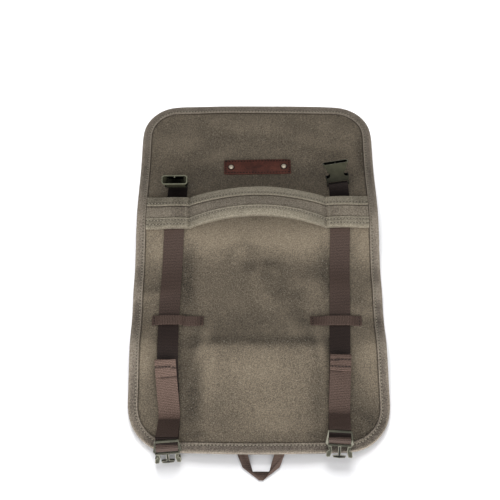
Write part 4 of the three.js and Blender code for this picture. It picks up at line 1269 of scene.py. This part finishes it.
# %% [markdown]
# ## Thread
# Every seam of the roll shows a row of lock stitches. One stitch is a small capsule of thread, half sunk
# in the cloth. It is modelled once and copied along each row. A row is drawn in plan and dropped on to
# the cloth below it by casting a ray, so it keeps to every fold.

# %% One stitch
STITCH = {"length": 2.7, "width": 1.3, "height": 0.9}
STITCH_PITCH = 4.1

deselect()
bpy.ops.mesh.primitive_uv_sphere_add(segments=8, ring_count=5, radius=0.5, location=(0, 0, 0))
stitch = bpy.context.object
stitch.name = "one_stitch"
stitch.scale = (STITCH["length"] * MM, STITCH["width"] * MM, STITCH["height"] * MM)
bpy.ops.object.transform_apply(location=False, rotation=False, scale=True)
print("stitch", len(stitch.data.polygons), "faces")

# %% Dropping rows on cloth
SKY = 0.2
SINK = 0.12


def drop(trees, x, y):
    """Highest point of the cloth at a place in plan, and its normal."""
    hits = [tree.ray_cast(Vector((x, y, SKY)), Vector((0, 0, -1))) for tree in trees]
    hits = [hit for hit in hits if hit[0] is not None]
    if not hits:
        return None
    place, normal = max(hits, key=lambda hit: hit[0].z)[:2]
    return place, (normal if normal.z > 0 else -normal)


def row_places(plan, trees, pitch=STITCH_PITCH):
    """Frames of the stitches along a plan line, given as close points in mm."""
    dropped = [drop(trees, x * MM, y * MM) for x, y in plan]
    line = [hit for hit in dropped if hit]
    frames = []
    ahead = 0.0
    for (here, normal), (after, _) in zip(line, line[1:]):
        run = after - here
        while ahead < run.length:
            place = here + run * (ahead / run.length)
            along = (run - normal * run.dot(normal)).normalized()
            across = normal.cross(along)
            place = place + normal * (SINK * STITCH["height"] * MM)
            turn = Matrix((along, across, normal)).transposed().to_4x4()
            frames.append(Matrix.Translation(place) @ turn)
            ahead += pitch * MM
        ahead -= run.length
    return frames


def straight(x0, y0, x1, y1, steps=60):
    return [(x0 + (x1 - x0) * k / steps, y0 + (y1 - y0) * k / steps) for k in range(steps + 1)]


def sewn(name, frames, material):
    """One piece of thread with a copy of the stitch at each frame."""
    tool = bmesh.new()
    for frame_of_stitch in frames:
        first = len(tool.verts)
        tool.from_mesh(stitch.data)
        tool.verts.ensure_lookup_table()
        bmesh.ops.transform(tool, matrix=frame_of_stitch, verts=tool.verts[first:])
    mesh = bpy.data.meshes.new(name)
    tool.to_mesh(mesh)
    tool.free()
    piece = bpy.data.objects.new(name, mesh)
    scene.collection.objects.link(piece)
    return finished(piece, None, material)


print("thread ready")

# %% Thread finish
THREADS = [
    {"name": "tan_thread", "dark": (146, 136, 120), "pale": (200, 192, 172)},
    {"name": "brown_thread", "dark": (10, 6, 5), "pale": (24, 15, 12)},
    {"name": "webbing_thread", "dark": (30, 22, 20), "pale": (58, 45, 41)},
]
THREAD_TWIST = 2600.0
THREAD_ROUGH = {"to_low": 0.6, "to_high": 0.8}


def thread_finish(name, dark, pale):
    thread = Finish(name)
    twist = thread.grain(thread.place(), THREAD_TWIST, 1.0)
    color = thread.mix(twist, tone(*dark), tone(*pale))
    return thread.done(color, thread.band(twist, 0, 1, **THREAD_ROUGH))


threads = {row["name"]: thread_finish(**row) for row in THREADS}
print("threads", list(threads))

# %% Seam of the edge binding
CORNER_STEPS = 16
ROW_STEP = 2.5
BOW_POWER = 6


def panel_row(inset):
    """Closed plan line a given distance inside the panel's edge, in mm."""
    points = []
    for turn in range(4):
        side_x, side_y = ((1, 1), (-1, 1), (-1, -1), (1, -1))[turn]
        end = "label" if side_y > 0 else "hanging"
        radius, reach = PANEL_CORNER[end], PANEL[f"{end}_end"]
        for k in range(CORNER_STEPS + 1):
            angle = math.radians(90 * turn + 90 * k / CORNER_STEPS)
            x = side_x * (PANEL["half_width"] - radius) + (radius - inset) * math.cos(angle)
            y = side_y * (reach - radius) + (radius - inset) * math.sin(angle)
            points.append((x, y))
    points.append(points[0])
    close = []
    for (x0, y0), (x1, y1) in zip(points, points[1:]):
        steps = max(1, round(math.hypot(x1 - x0, y1 - y0) / ROW_STEP))
        close += straight(x0, y0, x1, y1, steps)[:-1]
    placed = []
    for x, y in close:
        end = "label" if y > 0 else "hanging"
        bow = PANEL_BOW[end] * (1 - (x / PANEL["half_width"]) ** 2)
        bow *= (abs(y) / PANEL[f"{end}_end"]) ** BOW_POWER
        into = (-y / PANEL["hanging_end"] - DRIFT_FROM) / (1 - DRIFT_FROM)
        drift = PANEL["drift"] * eased(into)
        placed.append((x + drift + PANEL_X, y + math.copysign(bow, y) + PANEL_Y))
    return placed


binding_frames = row_places(panel_row(BINDING_ROW), [tree_of(binding)])
binding_thread = sewn("thread_binding", binding_frames, threads["tan_thread"])
print("binding stitches", len(binding_frames))

# %% Seams of the band
BAND_REACH = 139
ASIDE = 1.5
END_STITCH = 1
hem_trees = [tree_of(upper_tape), tree_of(lower_tape), tree_of(band)]


def along_band(x0, x1, row, steps=140):
    """Plan line along the band, a given distance from its middle line; x from the panel's middle."""
    tilt = [BAND_Y + BAND_TILT * x + row for x in (x0, x1)]
    return straight(PANEL_X + x0, tilt[0], PANEL_X + x1, tilt[1], steps)


band_frames = []
for row in (UPPER_ROW, LOWER_ROW):
    band_frames += row_places(along_band(-BAND_REACH, BAND_REACH, row), hem_trees)
for side in (-1, 1):
    inner, outer = side * (HANDLE_HALF + ASIDE), side * BAND_REACH
    band_frames += row_places(along_band(inner, outer, FOLD_ROW, 40), hem_trees)
    x, y = PANEL_X + inner, BAND_Y + BAND_TILT * inner
    half = BAND_HALF - END_STITCH
    band_frames += row_places(straight(x, y - half, x, y + half), hem_trees)
band_thread = sewn("thread_band", band_frames, threads["tan_thread"])
print("band stitches", len(band_frames))

# %% Seams of the label, the keepers and the straps' folded ends
LABEL_ROW = 2.2
LABEL_PITCH = 3.95
KEEPER_ROW = 3.0
KEEPER_END = 1.5
HEM_HALF = 11
label_low, label_high = (Vector(corner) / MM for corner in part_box("leather_label"))
LABEL_SIZE = Vector((88.5, 23.5))
LABEL_TURN = math.radians(1.2)


def label_point(along, across):
    middle = (label_low + label_high) / 2
    x = middle.x + along * math.cos(LABEL_TURN) - across * math.sin(LABEL_TURN)
    return x, middle.y + along * math.sin(LABEL_TURN) + across * math.cos(LABEL_TURN)


half = LABEL_SIZE / 2 - Vector((LABEL_ROW, LABEL_ROW))
TURNS = ((-1, -1), (1, -1), (1, 1), (-1, 1))
corners = [label_point(way_x * half.x, way_y * half.y) for way_x, way_y in TURNS]
label_frames = []
for (x0, y0), (x1, y1) in zip(corners, corners[1:] + corners[:1]):
    label_frames += row_places(straight(x0, y0, x1, y1), [tree_of(label)], LABEL_PITCH)
sewn("thread_label", label_frames, threads["brown_thread"])

strap_frames = []
for side in ("left", "right"):
    low, high = (Vector(corner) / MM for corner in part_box(f"strap_keeper_{side}"))
    for x in (low.x + KEEPER_ROW, high.x - KEEPER_ROW):
        foot_row = straight(x, low.y + KEEPER_END, x, high.y - KEEPER_END)
        strap_frames += row_places(foot_row, [tree_of(keepers[side])])
    tail = tree_of(straps[side])
    middle, end = TAIL_ENDS[side]
    for row in HEM_ROWS[side]:
        hem_row = straight(middle - HEM_HALF, end - row, middle + HEM_HALF, end - row)
        strap_frames += row_places(hem_row, [tail])
sewn("thread_webbing", strap_frames, threads["webbing_thread"])
bpy.data.objects.remove(stitch)
print("label stitches", len(label_frames), "webbing stitches", len(strap_frames))

# %% [markdown]
# ## Cloth that was cut flat
# The panel and the band were cut from flat canvas.

# %% Sheets
print("sheets", panel.name, band.name)
